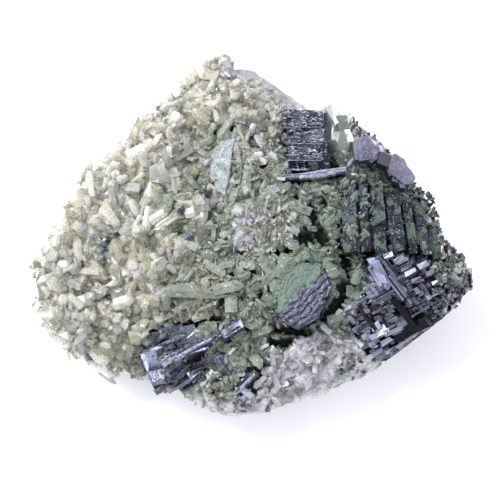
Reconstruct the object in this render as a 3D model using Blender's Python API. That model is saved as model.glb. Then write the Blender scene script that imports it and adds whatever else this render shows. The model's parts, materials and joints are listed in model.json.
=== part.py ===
"""A hand-sized mineral specimen: galena crystals with quartz, on a matrix of massive quartz.

The specimen lies on its broken back and shows its crystals upwards. +Z is up, and the origin is the middle of its
box, on the surface that it lies on. The sizes below are in millimetres. It is modelled in millimetres, and the last
step turns the finished meshes to metres.
"""

import math
import random

import bmesh
import bpy
from mathutils import Matrix, Vector, noise
from mathutils.bvhtree import BVHTree

METRES = 0.001

# Corners of the specimen's outline in plan, from +X round by +Y.
OUTLINE = (
    (46.6, 0.0), (42.3, 11.3), (33.2, 22.4), (27.3, 27.3), (22.8, 30.2), (14.8, 30.4), (-2.0, 43.6), (-8.5, 45.4),
    (-14.0, 40.5), (-20.1, 34.9), (-30.0, 25.1), (-41.6, 15.1), (-50.2, 0.0), (-55.0, -9.7), (-51.0, -24.5),
    (-33.6, -33.6), (-22.6, -39.1), (-8.1, -46.0), (0.0, -45.2), (14.0, -39.6), (21.8, -37.6), (32.4, -32.4),
    (42.1, -24.3), (50.0, -18.6), (54.6, -14.6), (54.0, -7.5),
)
RIM_HEIGHT = 10.0
CREST_HEIGHT = 31.0
SHOULDER_POWER = 2.6
SHOULDER_ROUND = 0.46
BACK_ROUND = 1.35

# Swells and hollows of the open face: x, y, radius, rise.
SWELLS = (
    (-44, -6, 16, -9.0),
    (-30, 12, 14, -3.5),
    (-34, -22, 14, -6.0),
    (-10, 40, 12, -3.0),
    (12, 22, 9, 2.0),
    (26, 2, 13, 2.5),
    (45, 0, 10, -4.0),
    (13, -17, 8, 1.5),
    (-14, -14, 9, 1.2),
    (8, -36, 14, -7.0),
    (-20, -32, 9, -4.0),
    (48, -14, 10, -6.0),
    (0, 12, 8, 1.2),
    (36, -28, 11, -6.0),
)

# The crusts stand on the matrix by this much, and pieces that touch keep this gap.
CRUST = 3.4
GAP = 0.35
SPECK = 0.004
LEVEL = 3.0

# The druse also wraps the flank between these two bearings, down to its foot.
FLANK_FROM, FLANK_TO, FLANK_FADE = 96.0, 243.0, 14.0
FLANK_DEPTH = 4.4
DRUSE_FOOT = 4.0
TIP_REACH = 0.6
MATRIX_REACH = 0.6

# Faces where the matrix was broken off: bearing, upward lean, distance from the middle, at this height.
BREAKS = (
    (24, -12, 43.8, 12),
    (-8, -22, 52.4, 10),
    (-52, -8, 45.3, 12),
    (-64, -26, 43.0, 10),
    (-90, -20, 44.6, 10),
    (-120, -30, 42.0, 10),
    (-150, -34, 46.0, 8),
    (176, -36, 46.0, 8),
    (142, -28, 33.5, 8),
    (112, -24, 39.5, 8),
    (38, -30, 36.0, 6),
)

# The clean broken face beside the peak, as a block that is cut away, and its frame.
PEAK_FACE_FRAME = (20.0, 28.0, 8.0, 54.4, 0, -9)
PEAK_FACE = (0.0, 30.0, 9.4, 60.0, -40.0, 60.0)

# Plan outlines of the two crusts.
DRUSE_PLAN = (
    (-15.2, 60.0), (-14.4, 41.0), (-8.4, 37.6), (-1.0, 36.4), (5.2, 30.8), (7.2, 27.2), (0.2, 27.7), (-5.4, 27.0),
    (-10.1, 25.2),
    (-10.4, 17.6), (-10.4, 8.9), (-12.1, -0.3), (-15.7, -4.7), (-17.0, -14.6), (-23.1, -24.4), (-27.6, -28.1),
    (-30.0, -60.0), (-80.0, -60.0), (-80.0, 60.0),
)
CHLORITE_PLAN = (
    (-9.5, 24.6), (-5.2, 26.4), (0.3, 27.1), (7.6, 26.6), (8.0, 28.6), (16.9, 28.6), (22.4, 27.0), (26.5, 25.5),
    (34.0, 20.0), (41.0, 11.0), (45.0, 2.0), (45.5, -8.0), (44.0, -19.0), (26.0, -25.5), (18.5, -25.2),
    (8.7, -27.6), (3.0, -33.9), (-7.0, -34.0), (-10.5, -33.0), (-22.4, -24.4), (-16.3, -14.6), (-15.0, -4.7),
    (-11.4, -0.5), (-9.7, 8.9), (-9.7, 17.6),
)
CHLORITE_FOOT = 14.0
LUMP_COUNT = 12

# Open cavities in the green crust: x, y, half length, half width, depth, turn.
CAVITIES = (
    (12.4, -2.6, 3.3, 2.2, 3.0, 15),
    (7.2, -5.2, 1.9, 1.1, 2.6, 20),
    (21.0, -8.0, 1.5, 3.6, 3.2, 8),
    (-0.4, 20.8, 2.0, 1.4, 2.4, -20),
    (-8.6, -21.0, 4.0, 1.2, 3.0, 22),
    (-2.7, -17.2, 2.0, 1.3, 2.6, 12),
    (4.6, -24.4, 2.6, 1.2, 2.6, -30),
    (19.9, -17.4, 1.5, 3.0, 3.4, -35),
)

# Quartz crystals that stand out by their size: x, y, bearing and rise of the long axis, length, width, thickness.
LARGE_QUARTZ = (
    (-15.8, 7.6, -4, 8, 6.0, 1.7, 1.6),
    (-13.0, 4.4, 94, 10, 6.2, 2.3, 1.5),
    (-17.0, 5.0, 20, 20, 3.4, 2.8, 2.4),
    (-23.0, 4.8, 36, 18, 7.2, 2.6, 1.4),
    (-26.0, 2.9, 74, 14, 5.4, 2.0, 1.5),
    (-29.4, 3.8, 55, 20, 5.2, 2.2, 1.3),
    (-28.4, 25.6, 110, 40, 5.0, 2.8, 2.0),
    (-34.6, 14.9, 90, 75, 4.2, 3.2, 3.0),
    (-18.2, 20.6, 150, 35, 6.6, 5.4, 4.0),
    (-22.4, 12.0, 60, 40, 5.6, 4.0, 3.4),
    (-38.4, 2.0, 118, 22, 6.4, 1.8, 1.2),
    (-37.2, 0.2, 70, 30, 5.4, 1.8, 1.2),
    (-48.0, -9.5, 20, 30, 6.0, 4.4, 2.0),
    (-51.0, -12.6, 190, 15, 5.0, 4.0, 2.4),
    (-44.0, -1.0, 140, 35, 5.6, 4.0, 2.4),
    (-13.6, 15.0, 88, 12, 11.0, 3.8, 2.0),
    (-22.6, 35.2, 130, 40, 6.0, 3.4, 2.6),
    (-4.8, 33.0, 60, 35, 6.0, 4.0, 3.0),
    (-30.6, -29.0, 210, 10, 6.5, 3.6, 2.4),
    (-40.8, -25.0, 220, 20, 6.0, 4.2, 2.4),
)
SMALL_QUARTZ_COUNT = 62
SMALL_QUARTZ_LENGTH = (4.6, 8.0)
SMALL_QUARTZ_WIDTH = (2.2, 4.0)
SMALL_QUARTZ_SPACING = 4.4
QUARTZ_ROOT = 0.42
TIP_SHARE = 0.28

# Galena breaks and grows in cubes, so its pieces are stacks of blocks: left, right, near, far, bottom and top,
# measured from the piece's own point x, y, z and along its own axes, which are set by a turn, a pitch and a roll.
CUBE_FRAME = (12.4, 22.3, 34.0, 0, 0, 0)
CUBE_BLOCKS = (
    (-4.4, 4.4, -6.0, -1.8, -13, -1.2),
    (-4.3, 4.5, -2.0, 2.2, -13, -0.6),
    (-4.5, 4.4, 2.0, 6.1, -13, 0.0),
    (4.2, 5.5, -5.6, 5.8, -13, -1.8),
    (-3.8, 8.6, -8.2, 1.0, -14, -5.0),
)
LEDGE_FRAME = (14.8, 12.4, 31.6, 8, 8, 0)
LEDGE_BLOCKS = ((-7.4, 7.4, -0.9, 0.7, -9, 1.0), (-6.0, 7.2, 0.0, 1.3, -9, 0.2))
SLAB_FRAMES = ((27.5, 19.8, 31.2, -22, 6, -4), (31.6, 16.6, 30.4, -12, 0, -8), (35.4, 13.6, 29.8, -36, 4, -8))
SLAB_BLOCKS = (
    ((-3.1, 3.1, -3.5, 3.6, -9, 0.0), (-2.4, 2.8, -2.8, 2.4, -8, 0.7)),
    ((-2.2, 2.2, -2.7, 2.9, -9, 0.0),),
    ((-3.9, 3.8, -3.1, 3.2, -9, 0.0), (-3.2, 2.2, -2.4, 2.6, -8, 0.9), (0.8, 4.2, -2.8, 0.6, -8, 0.4)),
)

# The ribs of the large galena crystal: x, width, near end, far end, top, turn.
RIBS = (
    (23.1, 3.7, -6.2, 11.6, 34.0, 1),
    (26.9, 2.5, -6.0, 10.6, 33.0, 3),
    (30.3, 3.5, -6.2, 10.8, 33.6, 4),
    (34.4, 3.7, -5.8, 8.0, 32.4, 6),
    (38.1, 2.6, -6.2, 7.0, 30.8, 7),
    (41.2, 2.9, -6.4, 5.8, 29.0, 10),
    (44.2, 2.9, -7.2, 1.8, 26.2, 14),
)
RIB_DEPTH = 11.0
RIB_BED_FRAME = (33.6, 1.4, 27.6, 6, 0, 18)
RIB_BED = (-12.6, 11.6, -6.4, 6.8, -8.0, 1.6)

# The stepped crystal leans towards the near side, and its terraces go down to the rim: rows across its slope, each
# with its near and far edge and the ends of the blocks along it.
STEPPED_FRAME = (38.4, -17.2, 24.0, 39.7, 26.7, -30.3)
STEPPED_ROWS = (
    (-15.4, -12.4, (-13.0, -5.0, 1.0)),
    (-12.2, -9.0, (-19.0, -11.0, -3.0, 3.0)),
    (-8.8, -5.6, (-20.0, -12.0, -4.0, 6.5)),
    (-5.4, -2.2, (-17.0, -9.0, -1.0, 11.0)),
    (-2.0, 1.2, (-15.5, -8.0, 1.0, 10.5)),
    (1.4, 4.6, (-15.0, -6.0, 2.0, 9.5)),
    (4.8, 8.0, (-13.0, -5.0, 1.0, 8.0)),
    (8.2, 11.6, (-6.0, 0.0, 6.5)),
    (11.8, 15.6, (-4.0, 0.5, 5.0)),
)
STEPPED_SLOPE = (2.6, -0.342, 0.228, -0.0135)
STEPPED_DEPTH = 12.0
STEPPED_BED = (-12.0, 6.5, -10.5, 10.5, -11.5, -1.6)
STEPPED_FOOT = 7.0
STEPPED_FACE = (-52, 8, 45.2, 12)

# The worn block in the middle: its outline round its own point, and the share and height of its layers.
BLOCK_POINT = (13.0, -16.4)
BLOCK_OUTLINE = (
    (-5.4, 1.0), (-3.8, 6.4), (-0.4, 8.0), (3.0, 7.8), (4.7, 5.0), (5.5, 2.0), (4.4, -1.4), (2.5, -5.6),
    (-1.2, -8.2), (-4.3, -6.6), (-5.5, -4.2),
)
BLOCK_LAYERS = ((1.0, 22.0, 31.4), (0.92, 23.0, 32.6), (0.79, 23.0, 33.5))

# Blades of galena along the near left edge, each with axes of its own, and the bed that they share.
BLADE_FRAMES = (
    (-17.0, -29.8, 25.0, 29, -28, 0),
    (-25.2, -33.0, 19.8, -68, 0, -16),
    (-19.6, -26.2, 25.4, 12, 6, 0),
    (-17.4, -34.6, 20.6, 38, -26, 0),
    (-13.2, -33.4, 22.6, 40, -22, 0),
    (-21.6, -34.2, 19.6, 30, -24, 0),
)
BLADE_BLOCKS = (
    ((-6.4, 6.4, -1.6, 1.6, -10, 0.6), (-6.0, 5.2, 0.4, 3.0, -10, 0.0)),
    ((-4.6, 4.4, -1.8, 1.8, -10, 0.4), (-3.4, 3.8, 1.0, 2.6, -10, -1.4)),
    ((-5.2, 5.6, -2.2, 2.0, -9, 0.0), (-3.0, 2.6, -2.8, 2.6, -9, -0.8)),
    ((-3.6, 3.4, -1.0, 1.0, -9, 0.0),),
    ((-3.8, 3.6, -1.1, 1.1, -9, 0.0),),
    ((-3.4, 3.0, -1.0, 1.0, -9, 0.0),),
)
BLADE_BED_FRAME = (-19.4, -30.4, 17.0, 28, -18, 0)
BLADE_BED = (-6.2, 8.0, -4.2, 4.2, -8, 1.6)

# Two lone galena crystals near the lower edge.
WEDGE_FRAME = (-2.2, -36.6, 20.6, 41, -26, 0)
WEDGE_BLOCKS = ((-3.4, 3.4, -1.2, 1.2, -9, 0.8), (-2.6, 2.6, 0.4, 2.0, -9, 0.0))
LENS_FRAME = (-5.4, -24.6, 29.4, 32, -10, 0)
LENS_BLOCKS = ((-2.8, 3.0, -1.3, 1.1, -7, 0.6), (-1.4, 3.4, -0.5, 1.7, -7, 0.0))

# Small galena and sphalerite grains on the quartz: x, y, size, turn.
GRAINS = (
    (-22.6, 28.8, 2.5, 20),
    (-43.0, -8.4, 2.4, 25),
    (-12.6, 9.9, 2.7, 35),
    (-17.4, -1.6, 2.5, 40),
)
GRAIN_SINK = 0.3

# Lumps of the massive quartz along its edges: x, y, size, height of the middle, turn.
MATRIX_LUMPS = (
    (50.8, -11.2, 6.2, 12.6, 27),
    (48.6, -14.4, 4.6, 12.6, 60),
    (-9.2, 41.4, 5.6, 17.4, 30),
    (5.2, -36.4, 5.4, 15.4, 10),
    (13.4, -34.4, 5.0, 16.4, 40),
    (-6.6, -39.4, 5.0, 11.6, 25),
    (21.4, -31.6, 5.0, 15.4, 15),
    (12.6, -29.6, 4.4, 22.0, 50),
)

FACET_JITTER = 0.05


def clear_scene():
    """Removes every object, so that the script starts from nothing."""
    for old in list(bpy.data.objects):
        bpy.data.objects.remove(old)


def uneven_at(point):
    """A smooth uneven push at a point, from one noise read at three places."""
    return Vector([noise.noise(point + Vector(offset)) for offset in ((9, 2, 7), (-5, 31, 12), (17, -23, 41))])


def make_material(name, colour, roughness, metallic=0.0):
    """A Principled material with a plain colour."""
    made = bpy.data.materials.new(name)
    made.use_nodes = True
    shader = made.node_tree.nodes["Principled BSDF"]
    shader.inputs["Base Color"].default_value = (*colour, 1)
    shader.inputs["Roughness"].default_value = roughness
    shader.inputs["Metallic"].default_value = metallic
    return made


def object_of(bm, name):
    """A new object in the scene with the mesh that bm holds."""
    mesh = bpy.data.meshes.new(name)
    bm.to_mesh(mesh)
    bm.free()
    made = bpy.data.objects.new(name, mesh)
    bpy.context.scene.collection.objects.link(made)
    return made


def copy_of(obj, name):
    """A second object with a mesh of its own."""
    made = bpy.data.objects.new(name, obj.data.copy())
    bpy.context.scene.collection.objects.link(made)
    return made


def settle(obj):
    """Replaces an object's mesh by what its modifiers make of it."""
    graph = bpy.context.evaluated_depsgraph_get()
    mesh = bpy.data.meshes.new_from_object(obj.evaluated_get(graph))
    obj.modifiers.clear()
    obj.data = mesh
    return obj


def cleaned(obj):
    """Merges the corners that a Boolean leaves closer together than SPECK."""
    bm = bmesh.new()
    bm.from_mesh(obj.data)
    bmesh.ops.remove_doubles(bm, verts=bm.verts, dist=SPECK)
    bmesh.ops.dissolve_degenerate(bm, edges=bm.edges, dist=SPECK)
    bmesh.ops.triangulate(bm, faces=[face for face in bm.faces if len(face.verts) > 4])
    bmesh.ops.dissolve_degenerate(bm, edges=bm.edges, dist=SPECK)
    bm.to_mesh(obj.data)
    bm.free()
    return obj


def combine(obj, operation, others):
    """Joins the others to obj, or cuts with them, and removes them."""
    group = bpy.data.collections.new("operands")
    for other in others:
        group.objects.link(other)
    modifier = obj.modifiers.new("combine", "BOOLEAN")
    modifier.operation = operation
    modifier.solver = "EXACT"
    modifier.operand_type = "COLLECTION"
    modifier.collection = group
    settle(obj)
    bpy.data.collections.remove(group)
    for other in others:
        bpy.data.objects.remove(other)
    return cleaned(obj)


def largest_body(obj):
    """Drops the crumbs that a cut leaves, and keeps the one large body."""
    bm = bmesh.new()
    bm.from_mesh(obj.data)
    left = set(bm.faces)
    bodies = []
    while left:
        body = {left.pop()}
        rim = list(body)
        while rim:
            edges = [edge for face in rim for edge in face.edges if edge.is_manifold]
            near = {face for edge in edges for face in edge.link_faces} & left
            left -= near
            body |= near
            rim = list(near)
        bodies.append(body)
    largest = max(bodies, key=len)
    crumbs = [face for body in bodies if body is not largest for face in body]
    bmesh.ops.delete(bm, geom=crumbs, context="FACES")
    bm.to_mesh(obj.data)
    bm.free()
    return obj


def in_frame(frame):
    """The placing matrix of a point x, y, z with a turn, a pitch and a roll."""
    x, y, z, turn, pitch, roll = frame
    turned = Matrix.Rotation(math.radians(turn), 4, "Z")
    pitched = Matrix.Rotation(math.radians(pitch), 4, "X")
    rolled = Matrix.Rotation(math.radians(roll), 4, "Y")
    return Matrix.Translation((x, y, z)) @ turned @ pitched @ rolled


def block(frame, extent, margin=0.0):
    """One block of galena, grown on all sides by the margin."""
    left, right, near, far, bottom, top = extent
    size = Vector((right - left, far - near, top - bottom)) + Vector((2, 2, 2)) * margin
    middle = Vector((left + right, near + far, bottom + top)) / 2
    bm = bmesh.new()
    placed = in_frame(frame) @ Matrix.Translation(middle) @ Matrix.Diagonal((*size, 1))
    bmesh.ops.create_cube(bm, size=1, matrix=placed)
    return object_of(bm, "block")


def stack(name, parts, margin=0.0):
    """The union of blocks, each given as its frame and its extent."""
    blocks = [block(frame, extent, margin) for frame, extent in parts]
    base = blocks.pop(0)
    base.name = name
    if blocks:
        combine(base, "UNION", blocks)
    return largest_body(base)


def prism(outline, bottom, top, name="prism"):
    """An upright prism over a plan outline."""
    bm = bmesh.new()
    corners = [bm.verts.new((x, y, bottom)) for x, y in outline]
    floor = bm.faces.new(corners)
    floor.normal_update()
    if floor.normal.z > 0:
        floor.normal_flip()
    grown = bmesh.ops.extrude_face_region(bm, geom=[floor])
    raised = [v for v in grown["geom"] if isinstance(v, bmesh.types.BMVert)]
    bmesh.ops.translate(bm, verts=raised, vec=(0, 0, top - bottom))
    bmesh.ops.recalc_face_normals(bm, faces=bm.faces)
    return object_of(bm, name)


def ragged(outline, step=4.2, depth=0.9):
    """A plan outline with its sides broken into short uneven runs."""
    made = []
    for (ax, ay), (bx, by) in zip(outline, outline[1:] + outline[:1]):
        count = max(1, round(math.hypot(bx - ax, by - ay) / step)) if abs(ax) + abs(ay) < 70 else 1
        for k in range(count):
            x = ax + (bx - ax) * k / count
            y = ay + (by - ay) * k / count
            push = uneven_at(Vector((x, y, 30)) / 3.1) * depth
            made.append((x + push.x, y + push.y))
    return tuple(made)


def grown(outline, by):
    """A plan outline moved outwards by this much. It runs clockwise or the other way."""
    area = sum(ax * by_ - bx * ay for (ax, ay), (bx, by_) in zip(outline, outline[1:] + outline[:1]))
    hand = 1 if area > 0 else -1
    made = []
    for k, (x, y) in enumerate(outline):
        px, py = outline[k - 1]
        nx, ny = outline[(k + 1) % len(outline)]
        dx, dy = nx - px, ny - py
        size = math.hypot(dx, dy)
        made.append((x + hand * dy / size * by, y - hand * dx / size * by))
    return tuple(made)


def reach(outline, bearing):
    """How far the outline is from the middle in this direction."""
    dx, dy = math.cos(math.radians(bearing)), math.sin(math.radians(bearing))
    found = 0.0
    for (ax, ay), (bx, by) in zip(outline, outline[1:] + outline[:1]):
        ex, ey = bx - ax, by - ay
        turned = dx * ey - dy * ex
        if abs(turned) < 1e-9:
            continue
        far = (ax * ey - ay * ex) / turned
        along = (ax * dy - ay * dx) / turned
        if far > 0 and -1e-6 <= along <= 1 + 1e-6:
            found = max(found, far)
    return found


def inside_by(outline, x, y):
    """How deep a plan point is inside an outline, or minus how far outside it is."""
    nearest, inside = 1e9, False
    for (ax, ay), (bx, by) in zip(outline, outline[1:] + outline[:1]):
        ex, ey = bx - ax, by - ay
        share = max(0.0, min(1.0, ((x - ax) * ex + (y - ay) * ey) / (ex * ex + ey * ey)))
        nearest = min(nearest, math.hypot(x - ax - ex * share, y - ay - ey * share))
        if (ay > y) != (by > y) and x < ax + (y - ay) * ex / ey:
            inside = not inside
    return nearest if inside else -nearest


def on_flank(bearing):
    """One where the druse wraps the flank, falling to nought beside it."""
    deep = min(bearing - FLANK_FROM, FLANK_TO - bearing)
    return max(0.0, min(1.0, deep / FLANK_FADE + 0.5))


def crest(x, y):
    """The height of the open face over a plan point, before it rounds off to the rim."""
    height = CREST_HEIGHT
    for sx, sy, radius, rise in SWELLS:
        height += rise * math.exp(-((x - sx) ** 2 + (y - sy) ** 2) / radius ** 2)
    return height


def covered(x, y):
    """One under a crust, nought on bare matrix."""
    deep = max(inside_by(DRUSE_PLAN, x, y), inside_by(CHLORITE_PLAN, x, y))
    return max(0.0, min(1.0, 0.5 + deep / 2.4))


def rounded_form(name, is_crust):
    """The closed form of the matrix, or of the crusts' outer surface, in flat facets of uneven size."""
    bm = bmesh.new()
    bmesh.ops.create_icosphere(bm, subdivisions=4, radius=1)
    for vert in bm.verts:
        uneven = uneven_at(vert.co * 9.0 + Vector((0, 0, 40 if is_crust else 60))) * FACET_JITTER
        nx, ny, nz = (vert.co + uneven).normalized()
        bearing = math.degrees(math.atan2(ny, nx)) % 360
        outward = min(1.0, math.hypot(nx, ny))
        flank = on_flank(bearing)
        if is_crust:
            edge = reach(OUTLINE, bearing) - (TIP_REACH if flank > 0 else 2.0)
        else:
            edge = reach(OUTLINE, bearing) + MATRIX_REACH - FLANK_DEPTH * flank
        x = math.cos(math.radians(bearing)) * edge * outward
        y = math.sin(math.radians(bearing)) * edge * outward
        if nz > 0:
            top = crest(x, y) - (0.0 if is_crust else CRUST * covered(x, y))
            z = RIM_HEIGHT + (top - RIM_HEIGHT) * (1 - outward ** SHOULDER_POWER) ** SHOULDER_ROUND
        else:
            z = RIM_HEIGHT * (1 - BACK_ROUND * (1 - outward ** 4) ** 0.5)
        point = Vector((x, y, z))
        rough = uneven_at(point / 7.5 + Vector((0, 0, 31 if is_crust else 0)))
        fine = uneven_at(point / 2.9 + Vector((0, 0, 17 if is_crust else 5)))
        vert.co = point + rough * 1.0 + fine * 0.5
    return object_of(bm, name)


def sliced(obj, point, normal):
    """Cuts away what lies on the outer side of a plane, and closes the cut."""
    bm = bmesh.new()
    bm.from_mesh(obj.data)
    everything = list(bm.verts) + list(bm.edges) + list(bm.faces)
    cut = bmesh.ops.bisect_plane(
        bm, geom=everything, dist=1e-4, plane_co=point, plane_no=normal, clear_outer=True
    )
    edges = [e for e in cut["geom_cut"] if isinstance(e, bmesh.types.BMEdge)]
    if edges:
        bmesh.ops.holes_fill(bm, edges=edges)
    bmesh.ops.recalc_face_normals(bm, faces=bm.faces)
    bm.to_mesh(obj.data)
    bm.free()
    return obj


def break_off(obj, bearing, lean, distance, height):
    """Breaks a flat face off the flank."""
    turn, tilt = math.radians(bearing), math.radians(lean)
    level = math.cos(tilt)
    normal = Vector((math.cos(turn) * level, math.sin(turn) * level, math.sin(tilt)))
    return sliced(obj, Vector((math.cos(turn) * distance, math.sin(turn) * distance, height)), normal)


def faceted_lump(x, y, z, size, turn, flat, detail):
    """A lump with large flat facets."""
    bm = bmesh.new()
    bmesh.ops.create_icosphere(bm, subdivisions=detail, radius=1)
    for vert in bm.verts:
        vert.co += uneven_at(vert.co * 1.4 + Vector((x, y, z))) * 0.45
    turned = Matrix.Rotation(math.radians(turn), 4, "Z") @ Matrix.Rotation(math.radians(turn / 2), 4, "X")
    sized = Matrix.Diagonal((size, size, size * flat, 1))
    bmesh.ops.transform(bm, matrix=Matrix.Translation((x, y, z)) @ turned @ sized, verts=bm.verts)
    return object_of(bm, "lump")


def quartz_crystal(anchor, axis, across, length, width, thickness):
    """A six-sided prism with a pyramid on it, sunk by its root behind the anchor point."""
    axis = axis.normalized()
    side = across - axis * across.dot(axis)
    side.normalize()
    third = axis.cross(side)
    shank = length * (1 - TIP_SHARE)
    bm = bmesh.new()
    upright = Matrix.Translation((0, 0, shank / 2))
    bmesh.ops.create_cone(bm, cap_ends=True, segments=6, radius1=0.5, radius2=0.5, depth=shank, matrix=upright)
    cap = max(bm.faces, key=lambda face: face.calc_center_median().z)
    tip = bmesh.ops.poke(bm, faces=[cap])["verts"][0]
    tip.co.z = length
    turned = Matrix((side * width, third * thickness, axis)).transposed().to_4x4()
    start = anchor - axis * length * QUARTZ_ROOT
    placed = Matrix.Translation(start) @ turned
    bmesh.ops.transform(bm, matrix=placed, verts=bm.verts)
    bmesh.ops.recalc_face_normals(bm, faces=bm.faces)
    return object_of(bm, "crystal")


def surface_of(obj):
    """A tree of an object's faces, for finding points on it."""
    bm = bmesh.new()
    bm.from_mesh(obj.data)
    tree = BVHTree.FromBMesh(bm)
    bm.free()
    return tree


def height_at(tree, x, y):
    """The height in millimetres of the surface over a plan point."""
    hit = tree.ray_cast(Vector((x, y, 90)), Vector((0, 0, -1)))
    return hit[0].z if hit[0] else None


def in_druse(point, margin):
    """Whether a point in millimetres is over the druse, this far from its edge on the crust side."""
    return inside_by(DRUSE_PLAN, point.x, point.y) > margin and point.z > DRUSE_FOOT + 1.5


def druse_crystals(shell):
    """The crystals of the druse: the large ones where they are, the small ones spread over the rest."""
    tree = surface_of(shell)
    made, taken = [], []
    up = Vector((0, 0, 1))
    for x, y, bearing, rise, length, width, thickness in LARGE_QUARTZ:
        z = height_at(tree, x, y)
        if z is None:
            continue
        level = math.cos(math.radians(rise))
        turn = math.radians(bearing)
        axis = Vector((level * math.cos(turn), level * math.sin(turn), math.sin(math.radians(rise))))
        anchor = Vector((x, y, z + 0.3))
        across = axis.cross(up) if rise < 70 else Vector((1, 0, 0))
        made.append(quartz_crystal(anchor, axis, across, length, width, thickness))
        taken.append((anchor, 3.0))
    chance = random.Random(11)
    bm = bmesh.new()
    bm.from_mesh(shell.data)
    bmesh.ops.triangulate(bm, faces=bm.faces)
    faces = [face for face in bm.faces if face.normal.z > -0.25]
    faces.sort(key=lambda face: [round(c, 2) for c in face.calc_center_median()])
    weights = [face.calc_area() * (0.35 + max(0.0, face.normal.z)) for face in faces]
    small, tries = 0, 0
    while small < SMALL_QUARTZ_COUNT and tries < 6000:
        tries += 1
        face = chance.choices(faces, weights)[0]
        a, b = sorted((chance.random(), chance.random()))
        corners = [vert.co for vert in face.verts]
        point = corners[0] * a + corners[1] * (b - a) + corners[2] * (1 - b)
        if not in_druse(point, 2.6):
            continue
        if any((point - other).length < room for other, room in taken):
            continue
        taken.append((point, SMALL_QUARTZ_SPACING))
        lean = Vector((chance.uniform(-1, 1), chance.uniform(-1, 1), chance.uniform(-0.2, 0.9)))
        axis = face.normal + lean * 0.85
        across = Vector((chance.uniform(-1, 1), chance.uniform(-1, 1), chance.uniform(-1, 1)))
        length = chance.uniform(*SMALL_QUARTZ_LENGTH)
        width = chance.uniform(*SMALL_QUARTZ_WIDTH)
        made.append(quartz_crystal(point, axis, across, length, width, width * chance.uniform(0.5, 1.0)))
        small += 1
    bm.free()
    return made


def crust_lumps(shell):
    """Small rounded lumps of chlorite on the green crust."""
    tree = surface_of(shell)
    chance = random.Random(5)
    made, taken, tries = [], [], 0
    while len(made) < LUMP_COUNT and tries < 4000:
        tries += 1
        x, y = chance.uniform(-20, 24), chance.uniform(-32, 26)
        if inside_by(CHLORITE_PLAN, x, y) < 2.6 or any(math.hypot(x - a, y - b) < 4.2 for a, b in taken):
            continue
        z = height_at(tree, x, y)
        if z is None:
            continue
        taken.append((x, y))
        made.append(faceted_lump(x, y, z - 0.2, chance.uniform(1.5, 2.7), chance.uniform(0, 90), 0.75, 1))
    return made


def cavity(tree, x, y, long, wide, deep, turn):
    """A cutter for one open cavity, set on the surface."""
    z = height_at(tree, x, y)
    bm = bmesh.new()
    bmesh.ops.create_icosphere(bm, subdivisions=2, radius=1)
    placed = Matrix.Translation((x, y, z)) @ Matrix.Rotation(math.radians(turn), 4, "Z")
    bmesh.ops.transform(bm, matrix=placed @ Matrix.Diagonal((long, wide, deep, 1)), verts=bm.verts)
    return object_of(bm, "cavity")


def stepped_parts(as_pocket=False):
    """The blocks of the stepped crystal, whose tops follow its slope. Its pocket has one block for each row."""
    middle, along, across, dome = STEPPED_SLOPE
    chance = random.Random(8)
    parts = [(STEPPED_FRAME, STEPPED_BED)]
    for near, far, ends in STEPPED_ROWS:
        row = []
        for left, right in zip(ends, ends[1:]):
            a, b = (left + right) / 2, (near + far) / 2
            top = middle + along * a + across * b + dome * ((a + 4) ** 2 + b ** 2) + chance.uniform(-0.9, 0.9)
            row.append((left + 0.02, right + 0.3, near - 0.25, far + 0.05, top - STEPPED_DEPTH, top))
        if as_pocket:
            low, high = min(extent[4] for extent in row), max(extent[5] for extent in row)
            row = [(row[0][0], row[-1][1], row[0][2], row[0][3], low, high)]
        parts += [(STEPPED_FRAME, extent) for extent in row]
    return parts


def rib_parts():
    """The ribs of the large crystal, and the bed that holds them."""
    parts = [(RIB_BED_FRAME, RIB_BED)]
    for x, width, near, far, top, turn in RIBS:
        frame = (x, (near + far) / 2, top, turn, 0, 0)
        half = (far - near) / 2
        parts.append((frame, (-width / 2, width / 2, -half, half, -RIB_DEPTH, 0)))
    return parts


def blade_parts():
    """The blades near the left edge, and the bed that holds them."""
    parts = [(BLADE_BED_FRAME, BLADE_BED)]
    for frame, blocks in zip(BLADE_FRAMES, BLADE_BLOCKS):
        parts += [(frame, extent) for extent in blocks]
    return parts


def worn_block(name, margin=0.0):
    """The worn block, as a stack of shrinking layers."""
    bx, by = BLOCK_POINT
    layers = []
    for share, bottom, top in BLOCK_LAYERS:
        scale = share + margin / 5.0
        outline = [(bx + x * scale, by + y * scale) for x, y in BLOCK_OUTLINE]
        layers.append(prism(outline, bottom - margin, top + margin))
    base = layers.pop(0)
    base.name = name
    return largest_body(combine(base, "UNION", layers))


def galena_pieces():
    """Every galena piece, as its name and its blocks."""
    stacks = {
        "galena_cube": [(CUBE_FRAME, extent) for extent in CUBE_BLOCKS],
        "galena_ledge": [(LEDGE_FRAME, extent) for extent in LEDGE_BLOCKS],
        "galena_stepped": stepped_parts(),
        "galena_columns": rib_parts(),
        "galena_blades": blade_parts(),
        "galena_wedge": [(WEDGE_FRAME, extent) for extent in WEDGE_BLOCKS],
        "galena_lens": [(LENS_FRAME, extent) for extent in LENS_BLOCKS],
    }
    for number, (frame, blocks) in enumerate(zip(SLAB_FRAMES, SLAB_BLOCKS), 1):
        stacks[f"galena_slab_{number}"] = [(frame, extent) for extent in blocks]
    return stacks


def grain_parts(tree):
    """The small grains, each sunk a little into the druse."""
    parts = []
    for x, y, size, turn in GRAINS:
        z = height_at(tree, x, y)
        frame = (x, y, z, turn, turn / 2, 20 - turn / 2)
        half = size / 2
        bottom = -size * (0.5 + GRAIN_SINK)
        parts.append(((frame, (-half, half, -half * 0.8, half * 0.8, bottom, size * 0.45)),))
    return parts


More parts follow.
